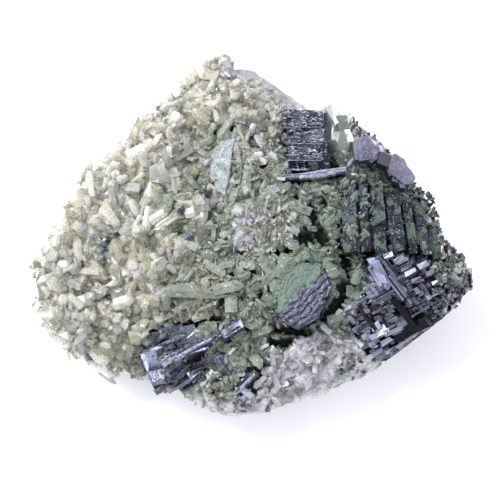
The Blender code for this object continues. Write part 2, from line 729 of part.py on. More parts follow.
def flattened(bm):
    """Merges neighbouring triangles that are all but level with each other. It stays one closed surface."""
    trial = bm.copy()
    bmesh.ops.dissolve_limit(trial, angle_limit=math.radians(LEVEL), verts=trial.verts, edges=trial.edges)
    bmesh.ops.triangulate(trial, faces=trial.faces)
    if all(edge.is_manifold for edge in trial.edges):
        bm.free()
        return trial
    trial.free()
    bmesh.ops.triangulate(bm, faces=bm.faces)
    return bm


def finish(obj, collection, material):
    """Puts an object in the specimen's collection with its one material."""
    bm = bmesh.new()
    bm.from_mesh(obj.data)
    bm = flattened(bm)
    bm.to_mesh(obj.data)
    bm.free()
    for old in list(obj.users_collection):
        old.objects.unlink(obj)
    collection.objects.link(obj)
    obj.data.name = obj.name
    obj.data.materials.clear()
    obj.data.materials.append(material)
    return obj


def centred(objects):
    """Turns the meshes to metres, with the origin in the middle of their box, on the surface that they lie on."""
    points = [obj.matrix_world @ vert.co for obj in objects for vert in obj.data.vertices]
    low = Vector([min(p[k] for p in points) for k in range(3)])
    high = Vector([max(p[k] for p in points) for k in range(3)])
    shift = Vector((-(low.x + high.x) / 2, -(low.y + high.y) / 2, -low.z))
    for obj in objects:
        obj.data.transform(Matrix.Scale(METRES, 4) @ Matrix.Translation(shift))
        obj.data.update()


def build():
    """Builds the specimen from the matrix outwards."""
    clear_scene()
    specimen = bpy.data.collections.new("galena_with_quartz")
    bpy.context.scene.collection.children.link(specimen)
    quartz_grey = make_material("massive_quartz", (0.55, 0.55, 0.53), 0.45)
    quartz_clear = make_material("druse_quartz", (0.60, 0.62, 0.52), 0.2)
    chlorite = make_material("chlorite", (0.22, 0.28, 0.20), 0.85)
    galena = make_material("galena", (0.16, 0.16, 0.20), 0.3, 1.0)
    sphalerite = make_material("dark_grain", (0.03, 0.04, 0.04), 0.25, 0.6)

    matrix = rounded_form("quartz_matrix", False)
    lumps = [faceted_lump(x, y, z, size, turn, 0.8, 1) for x, y, size, z, turn in MATRIX_LUMPS]
    combine(matrix, "UNION", lumps)
    for row in BREAKS:
        break_off(matrix, *row)
    combine(matrix, "DIFFERENCE", [block(PEAK_FACE_FRAME, PEAK_FACE)])
    sliced(matrix, Vector((0, 0, 0)), Vector((0, 0, -1)))
    largest_body(matrix)

    spared = copy_of(matrix, "matrix_margin")
    bm = bmesh.new()
    bm.from_mesh(spared.data)
    bmesh.ops.triangulate(bm, faces=bm.faces)
    bm.normal_update()
    moves = [vert.normal * GAP * min(vert.calc_shell_factor(), 1.6) for vert in bm.verts]
    for vert, move in zip(bm.verts, moves):
        vert.co += move
    bm.to_mesh(spared.data)
    bm.free()

    outer = rounded_form("outer_surface", True)
    for bearing, lean, distance, height in BREAKS:
        if on_flank(bearing % 360) == 0:
            break_off(outer, bearing, lean, distance - 0.2, height)
    combine(outer, "DIFFERENCE", [block(PEAK_FACE_FRAME, PEAK_FACE, 0.2)])
    outer_tree = surface_of(outer)
    druse_side = ragged(DRUSE_PLAN)
    druse = copy_of(outer, "quartz_druse")
    combine(druse, "UNION", druse_crystals(outer))
    combine(druse, "INTERSECT", [prism(druse_side, DRUSE_FOOT, 60)])
    chlorite_crust = copy_of(outer, "chlorite_crust")
    combine(chlorite_crust, "UNION", crust_lumps(outer))
    combine(chlorite_crust, "INTERSECT", [prism(ragged(CHLORITE_PLAN), CHLORITE_FOOT, 60)])
    hollows = [cavity(outer_tree, *row) for row in CAVITIES]
    combine(chlorite_crust, "DIFFERENCE", hollows + [prism(grown(druse_side, 0.4), 0, 70)])
    bpy.data.objects.remove(outer)

    pieces = []
    pockets = []
    for name, parts in galena_pieces().items():
        piece = stack(name, parts)
        if name == "galena_stepped":
            sliced(break_off(piece, *STEPPED_FACE), Vector((0, 0, STEPPED_FOOT)), Vector((0, 0, -1)))
        if pockets:
            combine(piece, "DIFFERENCE", [copy_of(pocket, "pocket") for pocket in pockets])
            largest_body(piece)
        pieces.append(piece)
        if name == "galena_stepped":
            pocket = stack("pocket", stepped_parts(True), GAP)
            sliced(pocket, Vector((0, 0, STEPPED_FOOT - GAP)), Vector((0, 0, -1)))
        else:
            pocket = stack("pocket", parts, GAP)
        pockets.append(pocket)
    worn = worn_block("galena_block")
    combine(worn, "DIFFERENCE", [copy_of(pocket, "pocket") for pocket in pockets])
    pieces.append(largest_body(worn))
    pockets.append(worn_block("pocket", GAP))
    grains = []
    for number, parts in enumerate(grain_parts(outer_tree), 1):
        grains.append(stack(f"grain_{number}", parts))
        pockets.append(stack("pocket", parts, GAP))

    for crust in (druse, chlorite_crust):
        combine(crust, "DIFFERENCE", [copy_of(spared, "margin")] + [copy_of(pocket, "pocket") for pocket in pockets])
        largest_body(crust)
    bpy.data.objects.remove(spared)
    combine(matrix, "DIFFERENCE", pockets)
    largest_body(matrix)

    made = [finish(matrix, specimen, quartz_grey), finish(druse, specimen, quartz_clear)]
    made.append(finish(chlorite_crust, specimen, chlorite))
    made += [finish(piece, specimen, galena) for piece in pieces]
    made += [finish(grain, specimen, sphalerite) for grain in grains]
    centred(made)
    return made


build()
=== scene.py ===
"""The look of a hand-sized mineral specimen: galena crystals with quartz on a matrix of massive quartz.

The specimen lies on its broken back and shows its crystals upwards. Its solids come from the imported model.
Every piece is modelled in millimetres in the specimen's own plan, and turned to metres when it is finished.
"""

import json
import logging
import math
from dataclasses import dataclass, field
from enum import Enum

import bmesh
import bpy
import numpy as np
from mathutils import Matrix, Vector
from mathutils.bvhtree import BVHTree

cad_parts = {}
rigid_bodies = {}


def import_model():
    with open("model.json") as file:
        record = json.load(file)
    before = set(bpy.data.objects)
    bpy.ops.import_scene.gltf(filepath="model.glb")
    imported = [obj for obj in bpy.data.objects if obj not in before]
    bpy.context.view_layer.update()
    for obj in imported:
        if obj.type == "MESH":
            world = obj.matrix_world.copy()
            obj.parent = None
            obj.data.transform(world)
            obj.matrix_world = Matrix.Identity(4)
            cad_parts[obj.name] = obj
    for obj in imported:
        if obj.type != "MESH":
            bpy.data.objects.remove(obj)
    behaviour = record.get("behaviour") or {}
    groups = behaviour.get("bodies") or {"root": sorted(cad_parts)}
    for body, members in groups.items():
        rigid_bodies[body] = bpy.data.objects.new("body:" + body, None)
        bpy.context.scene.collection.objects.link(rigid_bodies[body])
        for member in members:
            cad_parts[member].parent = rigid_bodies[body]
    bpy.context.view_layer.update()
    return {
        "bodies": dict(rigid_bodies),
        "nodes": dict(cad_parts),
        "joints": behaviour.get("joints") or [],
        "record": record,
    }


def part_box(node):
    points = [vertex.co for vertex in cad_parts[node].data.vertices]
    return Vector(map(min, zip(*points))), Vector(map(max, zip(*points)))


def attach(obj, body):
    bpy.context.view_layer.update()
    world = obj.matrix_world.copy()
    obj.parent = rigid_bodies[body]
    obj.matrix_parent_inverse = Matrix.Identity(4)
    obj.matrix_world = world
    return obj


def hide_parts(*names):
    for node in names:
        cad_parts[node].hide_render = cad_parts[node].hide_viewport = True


LOG = logging.getLogger("galena_with_quartz")
MM = 0.001
PICTURE = 500
QUARTZ_IOR = 1.544
# The colour of the painted shade in the hollows.
HOLLOW_SHADE = "#1c1e19"
UP = Vector((0, 0, 1))
Colour = tuple[float, float, float, float]
Row = tuple[float, ...]
seeded = np.random.default_rng
Tree = bpy.types.NodeTree
Socket = bpy.types.NodeSocket
Material = bpy.types.Material
Object = bpy.types.Object


class Kind(Enum):
    """The looks of the many small pieces."""

    CLEAR = "clear_quartz"
    MILKY = "milky_quartz"
    STAINED = "iron_stained_quartz"
    SMOKY = "smoky_quartz"
    BROKEN = "broken_quartz"
    LEAD = "galena_chips"
    GREEN = "chlorite_coated_quartz"
    DARK = "dark_sulphide"


CLEAR, MILKY, STAINED, SMOKY, BROKEN, LEAD, GREEN, DARK = Kind


def srgb(code: str) -> Colour:
    """Turns an sRGB hex colour, such as #ffffff, to the linear colour with an alpha of one."""
    parts = [int(code[k:k + 2], 16) / 255 for k in (1, 3, 5)]
    return (*(c / 12.92 if c <= 0.04045 else ((c + 0.055) / 1.055) ** 2.4 for c in parts), 1)


def feed(tree: Tree, node: bpy.types.Node, inputs: dict) -> None:
    """Gives a node's sockets their values.

    Args:
        tree: the node tree.
        node: the node.
        inputs: the values by the socket's name or number; an output socket as the value is linked.
    """
    for key, value in inputs.items():
        if isinstance(value, Socket):
            tree.links.new(value, node.inputs[key])
        else:
            node.inputs[key].default_value = value


def add_node(tree: Tree, kind: str, inputs: dict | None = None, **settings: object) -> bpy.types.Node:
    """Adds a node with its settings and links.

    Args:
        tree: the node tree that takes it.
        kind: the node's type, without its ShaderNode prefix.
        inputs: the values of its sockets.
        settings: the node's own properties.

    Returns:
        The new node.
    """
    node = tree.nodes.new(f"ShaderNode{kind}")
    for key, value in settings.items():
        setattr(node, key, value)
    feed(tree, node, inputs or {})
    return node


def millimetres(tree: Tree, turn: Row = (0, 0, 0)) -> Socket:
    """Gives the place on the piece in millimetres, for patterns with real sizes.

    Args:
        tree: the node tree.
        turn: how the pattern is turned, in degrees.

    Returns:
        The vector socket.
    """
    place = add_node(tree, "TexCoord").outputs["Object"]
    turned = [math.radians(a) for a in turn]
    return add_node(tree, "Mapping", {0: place, "Rotation": turned, "Scale": (1 / MM,) * 3}).outputs[0]


def between(tree: Tree, value: Socket, low: float, high: float, start: float = 0, end: float = 1) -> Socket:
    """Maps a value's range from low to high to one from start to end, and stops at its ends."""
    return add_node(tree, "MapRange", {0: value, 1: low, 2: high, 3: start, 4: end}).outputs[0]


def blended(tree: Tree, share: Socket, first: Colour | Socket, second: Colour | Socket) -> Socket:
    """Mixes two colours, with as much of the second as the share says."""
    return add_node(tree, "Mix", {0: share, 6: first, 7: second}, data_type="RGBA").outputs[2]


def glowing(weight: float, reach: float) -> dict:
    """Gives the shader's values for light that spreads inside the stone, up to a reach in millimetres."""
    return {"Subsurface Weight": weight, "Subsurface Radius": (1, 1, 0.9), "Subsurface Scale": reach * MM}


class Surface:
    """A material in the making, with the base colour that it has so far."""

    def __init__(self, name: str, colour: str, turn: Row = (0, 0, 0)) -> None:
        """Starts a material with one colour.

        Args:
            name: the real material's name.
            colour: the base colour that the others are laid over.
            turn: how its patterns are turned, in degrees.
        """
        self.material = bpy.data.materials.new(name)
        self.material.use_nodes = True
        self.tree = self.material.node_tree
        self.place = millimetres(self.tree, turn)
        self.base: Colour | Socket = srgb(colour)

    def node(self, kind: str, inputs: dict, out: int | str = 0, **settings: object) -> Socket:
        """Adds a node and gives one of its outputs."""
        return add_node(self.tree, kind, inputs, **settings).outputs[out]

    def math(self, operation: str, *values: Socket | float) -> Socket:
        """Adds a step of arithmetic."""
        return self.node("Math", dict(enumerate(values)), operation=operation)

    def vector(self, operation: str, *values: Socket | Row, out: int | str = 0) -> Socket:
        """Adds a step of arithmetic on places."""
        return self.node("VectorMath", dict(enumerate(values)), out, operation=operation)

    def attribute(self, name: str) -> Socket:
        """Gives a value that the mesh keeps for each point."""
        return self.node("Attribute", {}, "Fac", attribute_name=name)

    def grain(self, size: float, detail: float = 3, place: Socket | None = None) -> Socket:
        """Gives a noise whose features are about this many millimetres wide, with some finer layers."""
        place = self.place if place is None else place
        return self.node("TexNoise", {0: place, "Scale": 1 / size, "Detail": detail, "Roughness": 0.6})

    def span(self, value: Socket, low: float, high: float, start: float = 0, end: float = 1) -> Socket:
        """Maps a value's range to another, and stops at its ends."""
        return between(self.tree, value, low, high, start, end)

    def over(self, share: Socket, colour: str | Socket) -> None:
        """Lays a colour over the base colour, as much of it as the share says."""
        self.base = blended(self.tree, share, self.base, srgb(colour) if isinstance(colour, str) else colour)

    def shade_hollows(self) -> None:
        """Paints shade into the hollows, darker where they are deeper."""
        self.over(self.span(self.attribute("deep"), 0, 1, 0, 0.9), HOLLOW_SHADE)

    def done(self, inputs: dict, relief: tuple = ()) -> Material:
        """Feeds the shader.

        Args:
            inputs: its sockets other than the base colour.
            relief: the height, the strength and the depth in millimetres of a fine relief.

        Returns:
            The material.
        """
        shader = self.tree.nodes["Principled BSDF"]
        feed(self.tree, shader, {"Base Color": self.base, **inputs})
        if relief:
            height, strength, depth = relief
            bump = self.node("Bump", {"Strength": strength, "Distance": depth * MM, "Height": height})
            feed(self.tree, shader, {"Normal": bump})
        return self.material


@dataclass(frozen=True)
class QuartzFinish:
    """Crystal quartz, grown free: glassy faces with fine growth steps and milky veils inside."""

    name: str
    pale: str
    deep: str
    transmission: float
    roughness: float = 0.16
    glow: float = 0.0
    veil: float = 1.6

    def make(self) -> Material:
        """Makes the see-through material, whose tint goes from crystal to crystal."""
        look = Surface(self.name, self.pale)
        look.over(look.attribute("tint"), self.deep)
        look.over(look.span(look.grain(self.veil), 0.35, 0.7, 0, 0.2), "#ffffff")
        steps = look.grain(0.5, 2)
        rough = look.span(steps, 0.3, 0.7, self.roughness * 0.5, self.roughness * 1.8)
        clear = {"Transmission Weight": self.transmission, "IOR": QUARTZ_IOR, "Roughness": rough}
        return look.done(clear | glowing(self.glow, 2.6), (steps, 0.2, 0.1))


@dataclass(frozen=True)
class FootFinish:
    """The grown-together foot of the druse: dull quartz, paler towards the lit upper left as painted light,
    and dusted olive with chlorite towards the middle.
    """

    name: str = "dusted_quartz"
    left: str = "#fafaea"
    right: str = "#8f9280"
    dust: str = "#82846c"
    flecks: str = "#e9e9dd"
    under: str = "#a3a08e"

    def make(self) -> Material:
        """Makes the dusted material."""
        look = Surface(self.name, self.left)
        fine = look.grain(0.6, 4)
        # Painted light: the foot turns from the pale colour on the lit upper left to the olive one towards
        # the lower right, which is partly the real chlorite dust.
        along = look.vector("DOT_PRODUCT", look.place, (1, -0.7, 0), out="Value")
        uneven = look.math("MULTIPLY_ADD", look.grain(4.5), 34, along)
        look.over(look.span(uneven, -32, 10), self.right)
        dusted = look.math("MULTIPLY", look.span(fine, 0.46, 0.7), look.span(uneven, -34, 0, 0.06, 0.8))
        look.over(dusted, self.dust)
        look.over(look.span(look.grain(2.2, 2), 0.56, 0.7, 0, 0.6), self.flecks)
        look.over(look.span(look.node("SeparateXYZ", {0: look.place}, "Z"), 10, 3, 0, 0.8), self.under)
        look.shade_hollows()
        rough = look.span(fine, 0.3, 0.7, 0.35, 0.7)
        return look.done({"Roughness": rough} | glowing(0.6, 2), (fine, 0.35, 0.2))


@dataclass(frozen=True)
class MassiveQuartzFinish:
    """Massive quartz, broken: greasy milky white, grey and faint lilac, with green in its cracks and painted
    shade on its far flanks.
    """

    name: str = "massive_quartz"
    white: str = "#dcdcdb"
    grey: str = "#9b9d9c"
    lilac: str = "#c9c9d8"
    green: str = "#8b9484"
    specks: str = "#7f8480"
    flank_shade: str = "#86868c"

    def make(self) -> Material:
        """Makes the material with patches of each tone."""
        look = Surface(self.name, self.white)
        look.over(look.span(look.grain(9), 0.4, 0.62), self.lilac)
        turned = millimetres(look.tree, (20, 50, 10))
        look.over(look.span(look.grain(3.6, place=turned), 0.48, 0.6), self.grey)
        cracks = look.node("TexVoronoi", {0: look.place, "Scale": 0.34}, feature="DISTANCE_TO_EDGE")
        look.over(look.span(cracks, 0, 0.06, 0.55, 0), self.green)
        fine = look.grain(0.7, 4)
        look.over(look.span(fine, 0.56, 0.74, 0, 0.6), self.specks)
        # Painted shade on the flanks that face away from the light and on the broken edge at the peak.
        look.over(look.span(look.attribute("flank_shade"), 0, 1, 0, 0.85), self.flank_shade)
        look.shade_hollows()
        rough = look.span(fine, 0.3, 0.7, 0.28, 0.62)
        return look.done({"Roughness": rough, "IOR": QUARTZ_IOR}, (fine, 0.5, 0.25))


@dataclass(frozen=True)
class ChloriteFinish:
    """Chlorite, a soft scaly green mineral: matt and porous, with dark pits and white quartz grains."""

    name: str = "chlorite"
    pale: str = "#b4b8ac"
    middle: str = "#8f9486"
    sage: str = "#76877a"
    dark: str = "#4f5647"
    white: str = "#d9dcd6"
    grains: float = 0.4

    def make(self) -> Material:
        """Makes the matt green material."""
        look = Surface(self.name, self.middle)
        look.over(look.span(look.grain(5), 0.36, 0.64), self.pale)
        along = look.node("SeparateXYZ", {0: look.place}, "X")
        sage = look.math("MULTIPLY_ADD", look.grain(7), 60, along)
        look.over(look.span(sage, 20, 48, 0, 0.85), self.sage)
        look.over(look.span(look.attribute("tint"), 0, 1, 0, 0.4), self.dark)
        fine = look.grain(0.55, 4)
        look.over(look.span(fine, 0.5, 0.32, 0, 0.8), self.dark)
        cells = add_node(look.tree, "TexVoronoi", {0: look.place, "Scale": 1.7}, feature="F1").outputs
        random = look.node("SeparateColor", {0: cells["Color"]})
        chosen = look.span(random, 1 - self.grains * 0.26, 1 - self.grains * 0.24)
        spark = look.math("MULTIPLY", chosen, look.span(cells["Distance"], 0.36, 0.28))
        look.over(spark, self.white)
        look.shade_hollows()
        return look.done({"Roughness": look.span(spark, 0, 1, 0.88, 0.3)}, (fine, 0.9, 0.35))


@dataclass(frozen=True)
class GalenaFinish:
    """Galena, lead-grey and like metal: bright on fresh cleavage and with painted glints, dull and etched
    elsewhere, dark with tarnish and painted shade, part coated.
    """

    name: str
    bright: str
    dull: str
    rough: float
    etched: float
    etch_size: float = 0.6
    white: float = 0.0
    coated: float = 0.0
    fresh_and_glint: str = "#b6bad6"
    streak: float = 1.0
    tarnish_and_shade: str = "#17181c"
    specks: str = "#cfd0da"
    coat: str = "#5c6d62"
    coat_dark: str = "#4c5b51"
    coat_size: float = 3.2
    coat_step: float = 0.35

    def make(self) -> Material:
        """Makes the metallic material with its etched specks, painted bright as glints, and its green
        patches.
        """
        look = Surface(self.name, self.bright)
        fine = look.grain(self.etch_size)
        mixed = look.math("ADD", fine, look.grain(4, 2))
        look.over(look.span(mixed, 0.84, 1.16, self.etched, 0), self.dull)
        # The tint paints shade below nought and a glint above it, as well as the real tarnish and fresh
        # cleavage.
        tint = look.attribute("tint")
        look.over(look.span(tint, 0, -1, 0, 0.9), self.tarnish_and_shade)
        look.over(look.span(tint, 0, 1), self.fresh_and_glint)
        metal: Socket | float = 1.0
        rough = look.span(fine, 0.3, 0.7, self.rough * 0.6, self.rough * 1.7)
        if self.white > 0:
            # The bright specks are painted glints on the etched faces.
            drawn = look.vector("MULTIPLY", look.place, (self.streak, 1, 1))
            level = 0.66 - self.white * 0.2
            specks = look.span(look.grain(0.32, 1, drawn), level, level + 0.06)
            specks = look.math("MULTIPLY", specks, look.span(look.grain(2.6, 2), 0.38, 0.6, 0.15, 1))
            look.over(specks, self.specks)
            metal = look.span(specks, 0, 1, 1, 0.3)
        if self.coated > 0:
            stepped = look.vector("SNAP", look.place, (self.coat_step,) * 3)
            patch = look.grain(self.coat_size * 2, place=look.vector("ADD", stepped, look.place))
            level = 0.62 - self.coated * 0.24
            mask = look.span(patch, level, level + 0.012)
            shade = look.span(fine, 0.35, 0.65)
            look.over(mask, blended(look.tree, shade, srgb(self.coat), srgb(self.coat_dark)))
            metal = look.math("MULTIPLY", metal, look.span(mask, 0, 1, 1, 0))
            rough = look.math("ADD", rough, look.span(mask, 0, 1, 0, 0.6))
        return look.done({"Metallic": metal, "Roughness": rough}, (fine, 0.2 + self.etched * 0.6, 0.12))


@dataclass(frozen=True)
class WornFinish:
    """Galena worn round: dull violet-grey layers, under a smooth cap of sage-green chlorite."""

    name: str = "worn_galena"
    furrow: str = "#34353c"
    layer: str = "#6b6e80"
    rubbed: str = "#a3a6b8"
    cap_dark: str = "#637567"
    cap_pale: str = "#7a8a80"
    middle: Row = (11.6, -14.4)

    def make(self, shift: Vector) -> Material:
        """Makes the two-part material.

        Args:
            shift: from the specimen's own plan to the shared frame, in millimetres.

        Returns:
            The material.
        """
        look = Surface(self.name, self.furrow)
        fine = look.grain(0.6)
        parts = add_node(look.tree, "SeparateXYZ", {0: look.place}).outputs
        across = look.math("SUBTRACT", parts["Y"], parts["X"])
        limit = self.middle[1] + shift.y - self.middle[0] - shift.x
        wavy = look.math("MULTIPLY_ADD", look.grain(3.4, 4), 13, across)
        cap = look.span(wavy, limit + 5.7, limit + 6.5)
        layers = {0: millimetres(look.tree, (0, 0, -38)), "Scale": 0.2, "Distortion": 11, "Detail": 4,
                  "Detail Scale": 0.7}
        wave = look.node("TexWave", layers, 1, bands_direction="Y")
        look.over(look.span(wave, 0.05, 0.5), self.layer)
        look.over(look.span(fine, 0.56, 0.68, 0, 0.5), self.rubbed)
        shade = look.span(fine, 0.3, 0.7)
        look.over(cap, blended(look.tree, shade, srgb(self.cap_dark), srgb(self.cap_pale)))
        coated = {"Metallic": look.span(cap, 0, 1, 0.75, 0), "Roughness": look.span(cap, 0, 1, 0.42, 0.9)}
        return look.done(coated, (look.math("ADD", wave, fine), 0.6, 0.12))


@dataclass(frozen=True)
class SkinFinish:
    """A skin of tiny quartz points: bluish white in fine lines with painted sparkle, green towards its rim.
    """

    name: str = "sparkling_quartz_skin"
    light: str = "#b9c0c3"
    dim: str = "#848d8f"
    green: str = "#82907f"
    sparks: str = "#eef2f5"

    def make(self) -> Material:
        """Makes the sparkling material."""
        look = Surface(self.name, self.dim, (0, 0, 12))
        drawn = look.vector("MULTIPLY", look.place, (1, 0.22, 1))
        look.over(look.span(look.grain(0.34, place=drawn), 0.36, 0.62), self.light)
        look.over(look.span(look.grain(2.4), 0.48, 0.58, 0, 0.85), self.green)
        fine = look.grain(0.4)
        # Painted glints: the near-white sparks stand in for light caught by the tiny points.
        look.over(look.span(fine, 0.62, 0.7), self.sparks)
        rough = look.span(fine, 0.35, 0.65, 0.3, 0.6)
        return look.done({"Roughness": rough, "IOR": QUARTZ_IOR}, (fine, 0.9, 0.3))


@dataclass(frozen=True)
class SulphideFinish:
    """Sphalerite and galena grains: near-black glossy faces with a teal or violet cast."""

    name: str = "dark_sulphide"
    dark: str = "#24262a"
    teal: str = "#7f8f90"
    violet: str = "#8d93a6"

    def make(self) -> Material:
        """Makes the glossy dark material."""
        look = Surface(self.name, self.dark)
        look.over(look.attribute("tint"), self.teal)
        fine = look.grain(0.5, 2)
        look.over(look.span(fine, 0.5, 0.7, 0, 0.5), self.violet)
        return look.done({"Roughness": look.span(fine, 0.3, 0.7, 0.12, 0.4), "Metallic": 0.3})


@dataclass(frozen=True)
class FloorFinish:
    """A matt white sheet, lit a little from below."""

    name: str = "white_sheet"
    dim: str = "#fbfbfb"
    white: str = "#ffffff"
    lift: float = 0.15

    def make(self) -> Material:
        """Makes the matt white material with a faint grain."""
        look = Surface(self.name, self.dim)
        look.over(look.grain(2, 2), self.white)
        lit = {"Emission Color": srgb(self.white), "Emission Strength": self.lift}
        return look.done({"Roughness": 0.9, "Specular IOR Level": 0.1} | lit)


def deselect() -> None:
    """Selects nothing."""
    bpy.ops.object.select_all(action="DESELECT")


def select_only(obj: Object) -> None:
    """Selects one object and nothing else."""
    deselect()
    obj.select_set(True)
    bpy.context.view_layer.objects.active = obj


def linked(name: str, data: bpy.types.ID) -> Object:
    """Makes an object of its data and links it to the scene."""
    made = bpy.data.objects.new(name, data)
    bpy.context.scene.collection.objects.link(made)
    return made


def read_points(obj: Object, what: str = "co") -> np.ndarray:
    """Reads the places, or the normals, of a mesh's points, one row each."""
    values = np.zeros(len(obj.data.vertices) * 3)
    obj.data.vertices.foreach_get(what, values)
    return values.reshape(-1, 3)


def write_points(obj: Object, points: np.ndarray) -> None:
    """Moves a mesh's points to new places."""
    obj.data.vertices.foreach_set("co", points.ravel())


def mark(obj: Object, name: str, values: np.ndarray) -> None:
    """Keeps a value for each point of a mesh, for its material."""
    obj.data.attributes.new(name, "FLOAT", "POINT").data.foreach_set("value", values.astype(np.float32))


def apply_modifier(obj: Object, kind: str, **settings: object) -> None:
    """Adds a modifier with its settings and applies it.

    Args:
        obj: the object.
        kind: the modifier's type.
        settings: its properties.
    """
    select_only(obj)
    modifier = obj.modifiers.new(kind.lower(), kind)
    for key, value in settings.items():
        setattr(modifier, key, value)
    bpy.ops.object.modifier_apply(modifier=modifier.name)


def roughen(obj: Object, size: float, depth: float, basis: str = "BLENDER_ORIGINAL") -> None:
    """Pushes a fine mesh in and out along its normals by a seeded pattern.

    Args:
        obj: the object, in millimetres.
        size: the width of the pattern's features.
        depth: how deep it goes in all.
        basis: the pattern's basis, which has finer layers where it is the smooth one.
    """
    pattern = bpy.data.textures.new("relief", "CLOUDS")
    pattern.noise_scale = size
    pattern.noise_depth = 2 if basis == "BLENDER_ORIGINAL" else 1
    pattern.noise_basis = basis
    apply_modifier(obj, "DISPLACE", texture=pattern, strength=depth, mid_level=0.5, texture_coords="LOCAL")
    bpy.data.textures.remove(pattern)


def anticlockwise(points: list) -> list:
    """Gives an outline's points in anticlockwise order, seen from above."""
    return points if (points[1] - points[0]).cross(points[2] - points[1]).z > 0 else points[::-1]


def flat_ring(name: str, count: int, fill: str) -> Object:
    """Makes a filled circle, whose points are then moved.

    Args:
        name: its name.
        count: how many points its rim has.
        fill: the circle's way of filling.

    Returns:
        The object.
    """
    deselect()
    bpy.ops.mesh.primitive_circle_add(vertices=count, fill_type=fill, location=(0, 0, 0))
    made = bpy.context.active_object
    made.name = name
    return made


def thicken(thickness: float) -> None:
    """Draws the active flat mesh down to a closed plate.

    Args:
        thickness: the plate's thickness in millimetres.
    """
    bpy.ops.object.mode_set(mode="EDIT")
    bpy.ops.mesh.select_all(action="SELECT")
    bpy.ops.mesh.extrude_region_move(TRANSFORM_OT_translate={"value": (0, 0, -thickness)})
    bpy.ops.mesh.select_all(action="SELECT")
    bpy.ops.mesh.normals_make_consistent(inside=False)
    bpy.ops.object.mode_set(mode="OBJECT")


def from_arrays(name: str, points: np.ndarray, faces: list) -> Object:
    """Makes an object from its points and faces.

    Args:
        name: its name.
        points: one row each.
        faces: rows of point numbers.

    Returns:
        The object.
    """
    mesh = bpy.data.meshes.new(name)
    mesh.from_pydata(points.tolist(), [], faces)
    return linked(name, mesh)


def framed(row: Row) -> Matrix:
    """Gives the placing matrix of a point x, y, z with a turn, a pitch and a roll in degrees."""
    turn, pitch, roll = (Matrix.Rotation(math.radians(angle), 4, axis) for angle, axis in zip(row[3:], "ZXY"))
    return Matrix.Translation(row[:3]) @ (turn @ pitch) @ roll


def laid(axis: Vector, width: float, thick: float, length: float) -> Matrix:
    """Gives the matrix, without its place, of a shape that lies along an axis with its broad side up."""
    flat = axis.cross(UP).normalized()
    return Matrix((flat * width, flat.cross(axis) * thick, axis * length)).transposed().to_4x4()


@dataclass(frozen=True)
class Eye:
    """The place that the specimen is seen from: almost straight above, a little towards its near side."""

    aim: Row = (-1, -4.015, 15)
    elevation: float = 85.0
    distance: float = 600.0
    lens: float = 172.8
    sensor: float = 36.0

    def axes(self) -> tuple[Vector, Vector, Vector]:
        """Gives the view's right, up and forward directions."""
        lift = math.radians(self.elevation)
        forward = Vector((0, math.cos(lift), -math.sin(lift)))
        return Vector((1, 0, 0)), Vector((0, math.sin(lift), math.cos(lift))), forward

    def place(self) -> Vector:
        """Gives the place of the camera in millimetres."""
        return Vector(self.aim) - self.axes()[2] * self.distance

    def ray(self, px: float, py: float) -> Vector:
        """Gives the direction through a point of the picture."""
        right, up, forward = self.axes()
        focal = self.lens / self.sensor * PICTURE
        return (forward * focal + right * (px - PICTURE / 2) + up * (PICTURE / 2 - py)).normalized()

    def level(self, px: float, py: float, height: float) -> Vector:
        """Gives the point at a height that a point of the picture shows."""
        start, way = self.place(), self.ray(px, py)
        return start + way * ((height - start.z) / way.z)

    def shifted(self, point: Vector, height: float) -> Vector:
        """Moves a point along its line of sight to a height."""
        away = (self.place() - point).normalized()
        return point + away * ((height - point.z) / away.z)

    def on(self, tree: BVHTree, px: float, py: float) -> tuple[Vector, Vector] | None:
        """Gives the point and normal of a surface that a point of the picture shows."""
        hit = tree.ray_cast(self.place(), self.ray(px, py))
        return (hit[0], hit[1]) if hit[0] else None

    def highest(self, trees: list, px: float, py: float) -> tuple[Vector, Vector] | None:
        """Gives the highest point, and its normal, of several surfaces that a point of the picture shows."""
        hits = [hit for hit in (self.on(tree, px, py) for tree in trees) if hit]
        return max(hits, key=lambda hit: hit[0].z) if hits else None


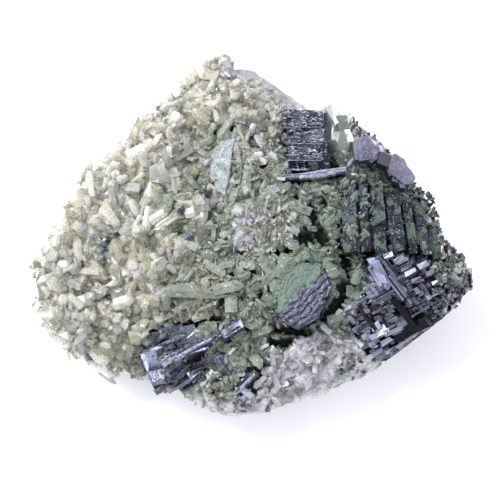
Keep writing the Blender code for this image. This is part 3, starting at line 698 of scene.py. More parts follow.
@dataclass
class Ground:
    """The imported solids, in millimetres in the specimen's own plan."""

    nodes: dict
    shift: Vector
    trees: dict = field(default_factory=dict)
    # The low corner of the galena block in plan.
    corner: Row = (7.9, 14.1)

    @classmethod
    def of(cls, nodes: dict) -> "Ground":
        """Finds the plan's shift from the low corner of the galena block, whose place in plan is known."""
        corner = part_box("galena_cube")[0] / MM
        return cls(nodes, Vector((corner.x - cls.corner[0], corner.y - cls.corner[1], 0)))

    def copy(self, node: str, name: str) -> Object:
        """Copies a node's mesh as a closed skin.

        Args:
            node: the node's name.
            name: the new object's name.

        Returns:
            The object, in millimetres.
        """
        mesh = self.nodes[node].data.copy()
        mesh.materials.clear()
        mesh.transform(Matrix.Translation(-self.shift) @ Matrix.Scale(1 / MM, 4))
        bm = bmesh.new()
        bm.from_mesh(mesh)
        bmesh.ops.remove_doubles(bm, verts=bm.verts, dist=0.002)
        bm.to_mesh(mesh)
        bm.free()
        return linked(name, mesh)

    def tree(self, node: str) -> BVHTree:
        """Gives the tree of a node's faces, made once."""
        if node not in self.trees:
            trial = self.copy(node, "trial")
            bm = bmesh.new()
            bm.from_mesh(trial.data)
            self.trees[node] = BVHTree.FromBMesh(bm)
            bm.free()
            bpy.data.objects.remove(trial)
        return self.trees[node]

    def triangles(self, node: str) -> np.ndarray:
        """Gives a node's triangles as an array of corners."""
        mesh = self.nodes[node].data
        mesh.calc_loop_triangles()
        points = np.array([v.co for v in mesh.vertices]) / MM - np.array(self.shift)
        return points[np.array([t.vertices for t in mesh.loop_triangles])]

    def finish(self, obj: Object, material: Material, slot: str, *stands_for: str) -> None:
        """Turns a piece to metres in the shared frame, dresses it and hands it over.

        Args:
            obj: the piece.
            material: its material.
            slot: the record's slot for its finish; not used.
            stands_for: the nodes that it stands for.
        """
        obj.data.transform(Matrix.Scale(MM, 4) @ Matrix.Translation(self.shift))
        obj.data.materials.clear()
        obj.data.materials.append(material)
        obj.data.name = obj.name
        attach(obj, "root")
        if stands_for:
            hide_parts(*stands_for)
        LOG.info("%s: %d faces", obj.name, len(obj.data.polygons))


@dataclass
class Hollows:
    """Open hollows and clefts in the crusts, which go down into the matrix."""

    eye: Eye
    # Picture column and row, half length and half width in millimetres, bearing, depth.
    rows: tuple = (
        (305, 239, 2.8, 2.3, 60, 6), (312, 215, 3.2, 1.2, 100, 4.4), (321, 235, 3.6, 1.6, 120, 5),
        (283, 251, 2.9, 1.2, 10, 4.4), (345, 250, 5.8, 1.4, 100, 6), (337, 304, 6, 1.6, 48, 6),
        (344, 286, 2.2, 1.6, 30, 4), (258, 143, 1.1, 0.9, 0, 3), (264, 166, 1, 0.9, 0, 3),
        (216, 130, 2.2, 0.6, 45, 2.8), (233, 127, 1.4, 0.7, 10, 2.8), (284, 145, 0.9, 0.8, 90, 2.6),
        (253, 136, 0.8, 0.7, 0, 2.6), (281, 108, 0.8, 0.6, 0, 2.2), (233, 276, 1.2, 0.8, 0, 2.8),
        (203, 321, 5, 1.3, 10, 4.4), (180, 326, 2.4, 1.1, 160, 3.6), (243, 300, 0.8, 0.6, 0, 2),
        (282, 341, 4.2, 1.2, 12, 4), (259, 366, 3.2, 1, 10, 3.6), (272, 338, 0.9, 1.6, 0, 2.6),
        (254, 388, 0.9, 1.3, 20, 2.6), (212, 391, 1.2, 0.9, 0, 2.6), (293, 329, 5.4, 1.2, -6, 4.2),
        (262, 376, 1.5, 0.9, 20, 2.6), (298, 168, 2.7, 1.2, 4, 3), (271, 290, 0.7, 2.4, 10, 2.4),
        (330, 262, 0.8, 0.6, 0, 2), (220, 352, 1, 0.7, 0, 2.2), (236, 346, 1.2, 0.7, 0, 2.4),
        (198, 176, 1.4, 0.8, 60, 2), (256, 300, 1, 0.6, 40, 1.8), (240, 252, 0.8, 0.6, 0, 1.6),
        (275, 215, 0.9, 0.6, 20, 1.6), (225, 238, 1, 0.5, 120, 1.8), (244, 330, 2.8, 0.9, 20, 3.2),
        (222, 300, 2.2, 0.7, 60, 2.6), (250, 272, 1.8, 0.8, 30, 2.6), (262, 296, 2, 0.8, 110, 2.6),
        (296, 196, 1, 0.6, 150, 1.8), (262, 236, 0.7, 0.6, 0, 1.4), (324, 204, 0.8, 1.3, 0, 2.4),
        (352, 216, 0.5, 1.6, 0, 2.4),
    )

    # The height at which their places are read, the lowest height that is sunk, and the least open share.
    height: float = 31.0
    foot: float = 15.0
    least: float = 0.05

    def __post_init__(self) -> None:
        """Finds each hollow's place in plan."""
        self.placed = []
        for px, py, long, wide, bearing, depth in self.rows:
            point = self.eye.level(px, py, self.height)
            turn = math.radians(bearing)
            self.placed.append((point.x, point.y, math.cos(turn), math.sin(turn), long, wide, depth))

    def share(self, points: np.ndarray) -> tuple[np.ndarray, np.ndarray]:
        """Gives how deep points are in the hollows.

        Args:
            points: the points, one row each, in millimetres.

        Returns:
            The share of the full depth, and the depth in millimetres.
        """
        share, depth = np.zeros(len(points)), np.zeros(len(points))
        for x, y, c, s, long, wide, deep in self.placed:
            east, north = points[:, 0] - x, points[:, 1] - y
            along, across = (east * c + north * s) / long, (north * c - east * s) / wide
            ragged = np.sin(points[:, 0] * 3.1 + points[:, 1] * 1.7) * 0.16
            ragged += np.sin(points[:, 1] * 4.3 - points[:, 0]) * 0.12
            inside = np.clip((1.15 - np.hypot(along, across) + ragged) / 0.5, 0, 1)
            share = np.maximum(share, inside)
            depth = np.maximum(depth, inside * deep)
        return share, depth

    def sink(self, obj: Object) -> None:
        """Sinks a base mesh into the hollows and marks how far in each point lies, for the painted shade
        there.
        """
        points = read_points(obj)
        share, depth = self.share(points)
        upper = points[:, 2] > self.foot
        points[:, 2] -= np.where(upper, depth, 0)
        write_points(obj, points)
        mark(obj, "deep", np.where(upper, share, 0))

    def open_at(self, point: Vector) -> bool:
        """Tells whether a point is over a hollow."""
        return bool(self.share(np.array([point]))[0][0] > self.least)


@dataclass(frozen=True)
class Shape:
    """A small shape that is modelled once, as its points and faces."""

    points: np.ndarray
    faces: list

    @classmethod
    def taken(cls, obj: Object) -> "Shape":
        """Takes the shape from an object, and removes it."""
        points = np.array([v.co for v in obj.data.vertices])
        faces = [tuple(p.vertices) for p in obj.data.polygons]
        bpy.data.objects.remove(obj)
        return cls(points, faces)


class Heap:
    """Copies of small shapes, joined to one mesh."""

    def __init__(self, name: str, seed: int) -> None:
        """Starts an empty heap with its own seed."""
        self.name = name
        self.points: list = []
        self.faces: list = []
        self.tints: list = []
        self.count = 0
        self.chance = seeded(seed)

    def add(self, shape: Shape, placed: Matrix, tint: float = 0.5, uneven: float = 0) -> None:
        """Adds a copy.

        Args:
            shape: the shape.
            placed: its placing matrix.
            tint: its own tint from nought to one.
            uneven: how far its corners are moved, as a share of its size.
        """
        points = shape.points
        if uneven:
            points = points + self.chance.uniform(-uneven, uneven, points.shape)
        turned = np.array(placed)
        self.points.append(points @ turned[:3, :3].T + turned[:3, 3])
        self.faces += [tuple(k + self.count for k in face) for face in shape.faces]
        self.tints += [tint] * len(points)
        self.count += len(points)

    def build(self) -> Object:
        """Makes the joined mesh, with the tint as an attribute of its points."""
        made = from_arrays(self.name, np.concatenate(self.points), self.faces)
        mark(made, "tint", np.array(self.tints))
        return made


class Prototypes:
    """The small shapes that repeat, each one unit wide and one unit long, standing on the ground."""

    def __init__(self) -> None:
        """Models each shape once."""
        self.prism = self.crystal(0.3, 0.1, 0)
        self.slant = self.crystal(0.34, 0.16, 0.26)
        self.stub = self.crystal(0.16, 0.45, 0.1)
        self.plate = self.crystal(0.4, 0.72, 0)
        self.shard = self.fragment(0.62, 0.18)
        self.chip = self.fragment(0.85, -0.1)
        self.block = self.cube()

    @staticmethod
    def column(sides: int, radius: float, height: float) -> Object:
        """Starts a shape with an upright column.

        Args:
            sides: how many sides it has.
            radius: its radius.
            height: its height.

        Returns:
            The object, in edit mode with its top face selected.
        """
        deselect()
        middle = (0, 0, height / 2)
        bpy.ops.mesh.primitive_cylinder_add(vertices=sides, radius=radius, depth=height, location=middle)
        made = bpy.context.active_object
        bpy.ops.object.transform_apply(location=True)
        select_top(made)
        bpy.ops.object.mode_set(mode="EDIT")
        return made

    @classmethod
    def crystal(cls, tip: float, point: float, lean: float) -> Shape:
        """Models a six-sided prism that ends in a pyramid, or in a bevel where its end stays wide.

        Args:
            tip: the pyramid's share of the length.
            point: the width that is left at its end.
            lean: how far the end is moved sideways.

        Returns:
            The shape.
        """
        made = cls.column(6, 0.5, 1 - tip)
        bpy.ops.mesh.extrude_region_move(TRANSFORM_OT_translate={"value": (lean, 0, tip)})
        bpy.ops.transform.resize(value=(point, point, 1))
        bpy.ops.object.mode_set(mode="OBJECT")
        return Shape.taken(made)

    @classmethod
    def fragment(cls, share: float, slide: float) -> Shape:
        """Models a broken piece with uneven flat faces.

        Args:
            share: how wide its end is.
            slide: how far its end is moved sideways.

        Returns:
            The shape.
        """
        made = cls.column(5, 0.55, 1)
        bpy.ops.transform.resize(value=(share, share, 1))
        bpy.ops.transform.translate(value=(slide, slide / 2, 0))
        bpy.ops.mesh.inset(thickness=0.12, depth=0.08)
        bpy.ops.object.mode_set(mode="OBJECT")
        return Shape.taken(made)

    @staticmethod
    def cube() -> Shape:
        """Models a plain cube for galena, which is bevelled when its copies are joined."""
        deselect()
        bpy.ops.mesh.primitive_cube_add(size=1)
        return Shape.taken(bpy.context.active_object)


def select_top(obj: Object) -> None:
    """Selects the highest face and nothing else of a mesh."""
    mesh = obj.data
    top = max(mesh.polygons, key=lambda p: p.center.z)
    for part in (mesh.vertices, mesh.edges, mesh.polygons):
        part.foreach_set("select", [False] * len(part))
    top.select = True
    for k in top.vertices:
        mesh.vertices[k].select = True
    for edge in mesh.edges:
        edge.select = all(mesh.vertices[k].select for k in edge.vertices)


@dataclass
class Spread:
    """Places spread over the open side of a node, with a least room between them."""

    ground: Ground
    node: str
    seed: int

    def places(self, count: int, room: float, lowest: float) -> list:
        """Chooses the places.

        Args:
            count: how many are wanted.
            room: the least distance between two.
            lowest: the least upward share of the surface's normal.

        Returns:
            Rows of a point and a normal.
        """
        chance = seeded(self.seed)
        corners = self.ground.triangles(self.node)
        across = np.cross(corners[:, 1] - corners[:, 0], corners[:, 2] - corners[:, 0])
        size = np.linalg.norm(across, axis=1)
        normals = across / np.maximum(size, 1e-9)[:, None]
        weights = np.where(normals[:, 2] > lowest, size * (0.3 + np.maximum(normals[:, 2], 0)), 0)
        tries = count * 8
        chosen = chance.choice(len(corners), tries, p=weights / weights.sum())
        shares = np.sort(chance.random((tries, 2)), axis=1)
        weight = np.stack([shares[:, 0], shares[:, 1] - shares[:, 0], 1 - shares[:, 1]], axis=1)
        points = (corners[chosen] * weight[:, :, None]).sum(axis=1)
        cells: dict = {}
        found: list = []
        for k in range(tries):
            if len(found) >= count:
                break
            point = points[k]
            key = tuple(np.floor(point / room).astype(int))
            near = [q for dx in (-1, 0, 1) for dy in (-1, 0, 1) for dz in (-1, 0, 1)
                    for q in cells.get((key[0] + dx, key[1] + dy, key[2] + dz), ())]
            if any(((q - point) ** 2).sum() < room * room for q in near):
                continue
            cells.setdefault(key, []).append(point)
            found.append((Vector(point), Vector(normals[chosen[k]])))
        return found


def standing(point: Vector, axis: Vector, spin: float, size: Vector) -> Matrix:
    """Gives the matrix of a shape that grows from a point along an axis, spun around it by radians."""
    turned = axis.normalized().to_track_quat("Z", "Y").to_matrix().to_4x4() @ Matrix.Rotation(spin, 4, "Z")
    return Matrix.Translation(point) @ turned @ Matrix.Diagonal((*size, 1))


def bearing_axis(bearing: float, rise: float) -> Vector:
    """Gives the direction with a bearing in plan and a rise, both in degrees."""
    level = math.cos(math.radians(rise))
    turn = math.radians(bearing)
    return Vector((level * math.cos(turn), level * math.sin(turn), math.sin(math.radians(rise))))


@dataclass
class Part:
    """A part of the specimen, with the solids below it, the small shapes and the eye."""

    ground: Ground
    shapes: Prototypes
    eye: Eye


@dataclass
class Crust(Part):
    """A part with a relief over its solid, and with open hollows."""

    hollows: Hollows

    def relief(self, node: str, name: str, voxel: float, *layers: tuple) -> Object:
        """Copies a solid and gives it its relief and its hollows.

        Args:
            node: the solid's node.
            name: the copy's name.
            voxel: how fine its mesh is, in millimetres.
            layers: the sizes and depths of the relief, with a basis where it isn't the smooth one.

        Returns:
            The copy.
        """
        made = self.ground.copy(node, name)
        apply_modifier(made, "REMESH", mode="VOXEL", voxel_size=voxel)
        for layer in layers:
            roughen(made, *layer)
        self.hollows.sink(made)
        return made


@dataclass
class Bare(Crust):
    """The bare massive quartz: the matrix itself and the broken pieces that stand on it."""

    voxel: float = 0.62
    # The way that the flank with painted shade faces, and the way and the distance of the broken edge at the
    # peak, which gets the same painted shade.
    shaded_side: Row = (0.55, 0.72, -0.42)
    rim_way: Row = (0.613, 0.789, 0)
    rim_reach: float = 28.4
    # The nodes that the broken pieces stand on.
    nodes: tuple = ("quartz_matrix", "chlorite_crust", "quartz_druse", "galena_columns", "galena_blades",
                    "galena_stepped")
    # Broken quartz on the matrix: picture column and row, radius, how many, smallest and largest, kind.
    patches: tuple = (
        (222, 66, 9, 5, 2, 3.4, BROKEN), (210, 70, 9, 5, 2, 3.4, MILKY), (215, 66, 10, 10, 1, 2, CLEAR),
        (240, 80, 12, 8, 1.4, 3, MILKY), (268, 98, 12, 8, 1.4, 2.6, MILKY),
        (262, 100, 18, 16, 0.8, 1.8, CLEAR), (254, 92, 16, 14, 1.2, 2.6, MILKY),
        (230, 90, 16, 14, 1.2, 2.6, MILKY), (240, 104, 20, 18, 1.2, 2.6, CLEAR),
        (285, 352, 24, 40, 1.6, 4.2, BROKEN), (316, 350, 24, 40, 1.6, 4.2, BROKEN),
        (344, 350, 18, 26, 1.4, 3.4, BROKEN), (300, 372, 26, 30, 1.6, 4.4, BROKEN),
        (334, 360, 24, 30, 1.2, 2.6, CLEAR), (290, 366, 34, 60, 0.8, 2, CLEAR),
        (262, 388, 20, 26, 1.8, 4.4, BROKEN), (270, 398, 24, 20, 1.4, 3.4, SMOKY),
        (252, 402, 16, 14, 1.2, 2.8, LEAD), (240, 374, 14, 22, 1, 2.8, GREEN),
        (222, 388, 16, 26, 1, 2.8, GREEN), (206, 392, 14, 18, 1, 2.6, GREEN),
        (218, 378, 18, 26, 0.8, 2.2, LEAD), (204, 374, 12, 16, 0.8, 1.8, CLEAR),
        (228, 398, 16, 16, 0.8, 2.2, LEAD), (192, 396, 10, 14, 0.8, 2, STAINED),
        (215, 402, 14, 18, 0.8, 2, STAINED), (352, 366, 14, 20, 1, 2.4, LEAD),
        (463, 270, 9, 20, 1, 2.6, STAINED), (456, 296, 12, 20, 1, 2.6, LEAD),
        (469, 290, 6, 8, 1.2, 2.6, BROKEN), (460, 284, 12, 40, 1.2, 3, LEAD),
        (458, 262, 8, 12, 0.8, 2, GREEN), (464, 278, 10, 14, 1.2, 2.6, SMOKY),
        (448, 284, 11, 34, 0.8, 2.2, LEAD), (440, 296, 10, 24, 0.8, 2, LEAD), (444, 274, 9, 22, 0.8, 2, LEAD),
        (413, 190, 9, 26, 0.8, 2, LEAD), (411, 192, 8, 10, 0.8, 1.6, GREEN), (425, 201, 8, 22, 0.8, 2, LEAD),
        (434, 214, 8, 22, 0.8, 2, LEAD), (440, 228, 7, 22, 0.8, 2, LEAD), (445, 240, 7, 18, 0.8, 2, LEAD),
        (437, 222, 8, 8, 0.6, 1.4, GREEN), (450, 248, 6, 14, 0.8, 1.8, GREEN),
        (448, 258, 10, 26, 1, 2.6, LEAD), (444, 246, 10, 14, 0.8, 2, GREEN),
        (436, 258, 12, 20, 0.7, 1.6, STAINED), (448, 270, 10, 16, 0.8, 2, GREEN),
        (338, 136, 15, 26, 1.6, 3.6, CLEAR), (338, 122, 13, 20, 1.2, 3, BROKEN),
        (344, 150, 14, 26, 0.8, 2, CLEAR), (350, 160, 14, 26, 0.8, 1.8, LEAD),
        (340, 168, 14, 14, 0.8, 1.8, CLEAR), (358, 128, 9, 18, 0.8, 2, LEAD), (370, 134, 8, 18, 0.8, 2, LEAD),
        (382, 146, 8, 16, 0.8, 2, LEAD), (394, 152, 6, 10, 0.6, 1.4, STAINED),
        (372, 140, 8, 10, 0.6, 1.2, STAINED), (364, 168, 14, 22, 0.8, 2, LEAD),
        (376, 172, 14, 22, 0.6, 1.6, GREEN), (370, 184, 16, 20, 0.6, 1.6, LEAD),
        (392, 184, 12, 18, 0.6, 1.6, GREEN), (352, 180, 14, 20, 0.8, 2, GREEN),
        (282, 136, 7, 14, 0.8, 2, BROKEN), (278, 152, 8, 16, 0.8, 2.2, CLEAR),
        (280, 168, 8, 14, 0.8, 2.2, GREEN), (300, 184, 14, 20, 0.8, 2.2, GREEN),
        (330, 180, 14, 20, 0.8, 2.2, GREEN), (280, 110, 8, 12, 0.8, 2, MILKY),
        (242, 240, 9, 46, 0.6, 1.5, BROKEN), (248, 252, 9, 30, 0.6, 1.4, MILKY),
        (256, 236, 10, 24, 0.8, 1.8, CLEAR), (285, 236, 16, 34, 1.2, 2.6, MILKY),
        (262, 214, 20, 30, 1, 2.4, MILKY), (268, 222, 18, 30, 1.4, 3.4, CLEAR),
        (264, 230, 22, 70, 0.9, 2.2, BROKEN), (286, 222, 16, 40, 0.9, 2.2, CLEAR),
        (292, 236, 10, 30, 0.6, 1.5, BROKEN), (280, 244, 8, 24, 0.6, 1.5, BROKEN),
        (262, 158, 16, 24, 1.2, 2.8, CLEAR), (270, 136, 14, 20, 1.2, 2.8, CLEAR),
        (240, 306, 16, 26, 0.8, 1.8, MILKY), (262, 326, 20, 30, 0.8, 1.8, CLEAR),
        (340, 232, 14, 26, 0.8, 1.8, GREEN), (356, 232, 12, 22, 0.8, 2, GREEN),
        (358, 205, 14, 26, 0.8, 2, GREEN), (350, 200, 16, 20, 0.6, 1.4, LEAD),
        (345, 240, 12, 14, 0.6, 1.4, LEAD), (366, 220, 10, 12, 0.6, 1.4, LEAD),
        (322, 205, 14, 20, 0.6, 1.6, LEAD), (170, 345, 18, 26, 0.6, 1.4, GREEN),
        (176, 338, 14, 14, 0.5, 1.1, CLEAR), (190, 350, 12, 12, 0.6, 1.2, CLEAR),
        (350, 322, 12, 22, 0.8, 1.8, CLEAR), (342, 296, 10, 14, 0.8, 1.6, GREEN),
        (342, 312, 12, 40, 1, 2.6, BROKEN), (338, 300, 10, 18, 0.8, 2, CLEAR),
        (340, 158, 12, 18, 1, 2.4, BROKEN), (334, 144, 10, 14, 1, 2.6, MILKY),
        (334, 130, 7, 9, 3.4, 5.6, BROKEN), (337, 148, 7, 8, 3, 5, CLEAR), (342, 120, 6, 6, 3, 4.6, CLEAR),
        (360, 284, 8, 14, 0.8, 1.8, GREEN), (276, 262, 8, 10, 1.6, 3.4, GREEN),
        (278, 292, 9, 12, 1.6, 3.4, GREEN), (280, 316, 8, 10, 1, 2.4, LEAD),
    )

    # Single pieces along the lower left rim, at the peak and beside the galena block: picture column and row,
    # height, bearing, length, width, thickness, kind.
    rim: tuple = (
        (44, 300, 12, 250, 8, 4.4, 4, CLEAR), (47, 314, 11, 262, 7, 4.8, 4, BROKEN),
        (52, 326, 10, 300, 7.4, 4.6, 4, CLEAR), (62, 334, 9, 330, 8, 5, 4, BROKEN),
        (76, 341, 9, 328, 8.6, 5.2, 4, CLEAR), (90, 350, 9, 334, 8.4, 5.4, 4, BROKEN),
        (105, 357, 9, 336, 8.4, 5, 4, CLEAR), (120, 362, 10, 340, 8, 5, 4, BROKEN),
        (134, 367, 11, 342, 8, 4.6, 4, CLEAR), (146, 371, 12, 338, 6.6, 4.4, 4, BROKEN),
        (84, 338, 13, 20, 6, 4, 3, CLEAR), (112, 348, 14, 350, 7, 4.2, 3, MILKY),
        (58, 316, 15, 280, 6, 4, 3, MILKY), (133, 358, 15, 300, 5.6, 3.6, 3, BROKEN),
        (98, 344, 13, 300, 5, 3.6, 3, BROKEN), (38, 284, 14, 100, 6.6, 4.2, 4, CLEAR),
        (70, 328, 14, 60, 5, 3.4, 3, CLEAR), (205, 62, 18.6, 130, 6.6, 5.6, 4, MILKY),
        (194, 68, 18, 150, 5.6, 4.6, 4, CLEAR), (213, 58, 18.6, 100, 5.4, 5.6, 4, CLEAR),
        (222, 63, 19, 60, 5.6, 5, 4, BROKEN), (206, 72, 19.4, 170, 6, 4.6, 4, STAINED),
        (185, 77, 17, 150, 5, 4, 4, CLEAR), (332, 122, 23, 300, 7, 5, 8, SMOKY),
        (340, 132, 22, 280, 7, 5, 8, GREEN), (337, 146, 23, 260, 7, 5, 8, SMOKY),
        (347, 142, 22, 290, 6, 4.4, 7, SMOKY), (346, 154, 23, 250, 6, 4.4, 7, GREEN),
        (331, 136, 23, 270, 8, 4.4, 8, SMOKY), (342, 119, 21, 310, 5, 4, 6, SMOKY),
        (338, 158, 23, 200, 5, 4, 7, CLEAR),
    )

    def matrix(self, material: Material) -> None:
        """Models the broken matrix over its solid."""
        layers = ((7, 1.6), (4.2, 0.6, "VORONOI_F2_F1"), (1.8, 0.7), (0.9, 0.35))
        made = self.relief("quartz_matrix", "matrix_break", self.voxel, *layers)
        facing, places = read_points(made, "normal"), read_points(made)
        x, y, z = places.T
        # Painted shade: flanks that face away from the light, on the far side, and the broken edge at the
        # peak.
        shade_share = np.clip((facing @ np.array(self.shaded_side) - 0.45) * 5, 0, 1) * np.clip((y + 4) / 12, 0, 1)
        edge = places @ np.array(self.rim_way) + x * 0.02 - self.rim_reach
        shade_share = np.maximum(shade_share, np.clip(edge / 0.8, 0, 1) * np.clip((12 - x) / 4, 0, 1))
        mark(made, "flank_shade", shade_share)
        places[:, 2] = np.maximum(z, 0)
        write_points(made, places)
        self.ground.finish(made, material, "massive_quartz", "quartz_matrix")

    def broken(self, heaps: dict) -> None:
        """Adds the broken pieces to the heaps of their kinds."""
        trees = [self.ground.tree(node) for node in self.nodes]
        chance = seeded(21)
        roll = chance.uniform
        for px, py, height, bearing, length, width, thick, kind in self.rim:
            axis = bearing_axis(bearing, 0)
            start = Matrix.Translation(self.eye.level(px, py, height) - axis * length / 2)
            placed = start @ laid(axis, width, thick, length)
            heaps[kind].add(self.shapes.slant, placed, chance.random() * 0.3, 0.08)
        for px, py, radius, count, small, large, kind in self.patches:
            for _ in range(count):
                turn, far = roll(0, 2 * math.pi), radius * math.sqrt(chance.random())
                hit = self.eye.highest(trees, px + far * math.cos(turn), py + far * math.sin(turn))
                if not hit:
                    continue
                point, normal = hit
                if normal.z < 0.25 or self.hollows.open_at(point):
                    continue
                size = roll(small, large)
                axis = normal * 0.4 + Vector(roll(-1, 1, 3))
                axis.z = max(axis.z, 0.05)
                axis.normalize()
                wide = Vector((size * roll(0.4, 0.8), size * roll(0.3, 0.6), size))
                shape = (self.shapes.shard, self.shapes.chip, self.shapes.slant)[chance.integers(3)]
                placed = standing(point - axis * size * 0.5, axis, roll(0, 6.3), wide)
                heaps[kind].add(shape, placed, chance.random(), 0.1)


@dataclass
class Druse(Crust):
    """The crust of intergrown quartz crystals."""

    voxel: float = 0.5
    count: int = 1700
    room: float = 1.3
    # Crystals that stand out: picture column and row, bearing, rise, length, width, thickness, kind, tint.
    heroes: tuple = (
        (189, 203.5, -4, 6, 5.8, 1.5, 1.2, STAINED, 0.25), (204, 213, 266, 8, 6.8, 2.3, 1.3, SMOKY, 0.35),
        (192, 213, 10, 16, 3.4, 2.8, 2, MILKY, 0.1), (147, 221, 262, 10, 6.8, 2, 1.2, MILKY, 0),
        (161, 215, 33, 14, 6.4, 2.6, 1.2, MILKY, 0), (139, 221, 60, 12, 4.8, 1.8, 1.2, MILKY, 0.05),
        (165, 221, 36, 8, 4.8, 1, 0.8, STAINED, 0.6), (152, 232, 40, 20, 1.8, 1.3, 1.2, STAINED, 1),
        (140, 152, 25, 10, 6.6, 3.4, 1.4, CLEAR, 0.2), (139, 178, 35, 14, 4.2, 1.4, 1, STAINED, 0.7),
        (142, 172, 70, 20, 3.6, 1.2, 1, STAINED, 0.5), (160, 139, 60, 40, 3.2, 2.6, 2.2, STAINED, 0.6),
        (148, 260, 118, 16, 8.2, 3.6, 1.6, CLEAR, 0.5), (158, 268, 60, 22, 6.4, 4, 2, CLEAR, 0.35),
        (136, 250, 100, 20, 5.4, 3.2, 1.8, CLEAR, 0.6), (178, 256, 70, 50, 3.4, 2.8, 2.4, GREEN, 0.4),
        (125, 240, 80, 60, 2.8, 2.4, 2.2, STAINED, 0.9), (82, 303, 10, 14, 5, 3.6, 1.4, SMOKY, 0),
        (68, 256, 112, 14, 8, 2.6, 1.6, CLEAR, 0.1), (78, 248, 96, 14, 6.6, 2.4, 1.4, MILKY, 0.2),
        (104, 222, 118, 22, 5.4, 1.4, 1, MILKY, 0), (90, 214, 128, 22, 5, 1.2, 0.9, MILKY, 0),
        (124, 276, 22, 10, 5.8, 2.8, 1.4, CLEAR, 0.3), (118, 282, 200, 8, 7, 1.6, 1.4, MILKY, 0.3),
        (56, 284, 160, 24, 5.4, 4.4, 2.2, MILKY, 0.1), (120, 162, 140, 24, 6, 3.4, 1.6, CLEAR, 0.1),
        (162, 166, 60, 20, 5.4, 2.6, 1.4, CLEAR, 0.3), (176, 151, 330, 60, 4.6, 4, 3.4, SMOKY, 1),
        (188, 142, 50, 30, 6, 4.6, 3.4, SMOKY, 1), (182, 160, 340, 20, 5.4, 4, 3, SMOKY, 0.9),
        (156, 176, 70, 30, 4.4, 3, 2.4, SMOKY, 0.7), (114, 188, 90, 30, 4.6, 3, 2, SMOKY, 0.1),
        (132, 208, 110, 14, 6.4, 3, 1.6, CLEAR, 0.4), (113, 205, 100, 14, 6, 2.4, 1.4, CLEAR, 0.2),
        (170, 240, 40, 24, 5, 3, 2, CLEAR, 0.6), (66, 236, 30, 40, 4, 3.6, 3, MILKY, 0.1),
        (48, 262, 160, 30, 4.6, 3.4, 2.4, MILKY, 0.2), (148, 300, 170, 8, 6, 3, 1.8, CLEAR, 0.2),
        (125, 302, 16, 20, 5.4, 3.4, 2, MILKY, 0), (96, 320, 150, 20, 4.4, 3.2, 2, CLEAR, 0.5),
        (140, 334, 20, 18, 5, 3.4, 2.4, CLEAR, 0.7),
    )
    # Flat plates seen face on: picture column and row, width, kind, tint.
    plates: tuple = (
        (143.5, 133.5, 2.9, SMOKY, 0.6), (116.5, 175, 3, MILKY, 0.2), (172, 132, 3.2, MILKY, 0.6),
        (132, 171, 2.8, CLEAR, 0.2), (96, 178, 3.4, CLEAR, 0), (152, 148, 3.2, MILKY, 0),
        (100, 262, 3, CLEAR, 0.4), (208, 110, 2.6, STAINED, 0.1), (176, 118, 3, MILKY, 0.3),
        (64, 300, 3.2, MILKY, 0), (88, 330, 2.8, SMOKY, 0.4), (160, 318, 3.2, MILKY, 0.4),
    )

    def base(self, material: Material) -> None:
        """Models the intergrown foot of the crystals over its solid."""
        layers = ((2.6, 1, "VORONOI_F2_F1"), (1.1, 0.4, "VORONOI_F1"))
        made = self.relief("quartz_druse", "druse_base", self.voxel, *layers)
        self.ground.finish(made, material, "druse_quartz", "quartz_druse")

    def kind_at(self, point: Vector, luck: float) -> Kind:
        """Chooses a crystal's kind by its place.

        Args:
            point: where it stands.
            luck: an even chance from nought to one.

        Returns:
            The kind.
        """
        green = max(0.03, min(0.6, (point.x + 27) / 26)) if -26 < point.y < 22 else 0.05
        if luck < green:
            return GREEN
        luck = (luck - green) / (1 - green)
        if math.hypot(point.x + 4, point.y - 33) < 13:
            return MILKY if luck < 0.5 else STAINED if luck > 0.94 else CLEAR
        if luck < (0.4 if point.x < -18 else 0.62):
            return CLEAR
        if luck < 0.84:
            return MILKY
        return SMOKY if luck < 0.92 else STAINED

    def crystals(self, heaps: dict) -> None:
        """Adds the spread crystals and those that stand out to the heaps of their kinds."""
        chance = seeded(3)
        roll = chance.uniform
        shapes = self.shapes
        plate, shard = shapes.plate, shapes.shard
        forms = (shapes.prism, shapes.slant, shapes.chip, plate, plate, shard, plate, shard)
        for point, normal in Spread(self.ground, "quartz_druse", 5).places(self.count, self.room, -0.1):
            if self.hollows.open_at(point):
                continue
            fine = math.hypot(point.x + 3, point.y - 33) < 12
            length = roll(1.8, 4.2) if fine else roll(2, 5.8)
            width = length * (roll(0.5, 0.95) if fine else roll(0.34, 0.8))
            loose = 2.0 if normal.z > 0.5 else 0.6
            if normal.z < 0.35:
                length, width = length * 0.55, width * 0.8
            axis = normal + Vector(roll(-1, 1, 3)) * loose
            if axis.dot(normal) < 0.12:
                axis += normal * 0.4
            axis.normalize()
            shape = forms[chance.integers(len(forms))]
            size = Vector((width, width * roll(0.35, 0.9), length))
            if shape is plate:
                axis = (normal * 1.2 + UP * 0.6 + Vector(roll(-1, 1, 3)) * 0.9).normalized()
                wide, deep = width * roll(1.2, 2), width * roll(1, 1.6)
                size = Vector((wide, deep, roll(0.8, 1.6)))
                start = point - axis * size.z * 0.3
            else:
                start = point - axis * length * (0.55 if normal.z > 0.3 else 0.78)
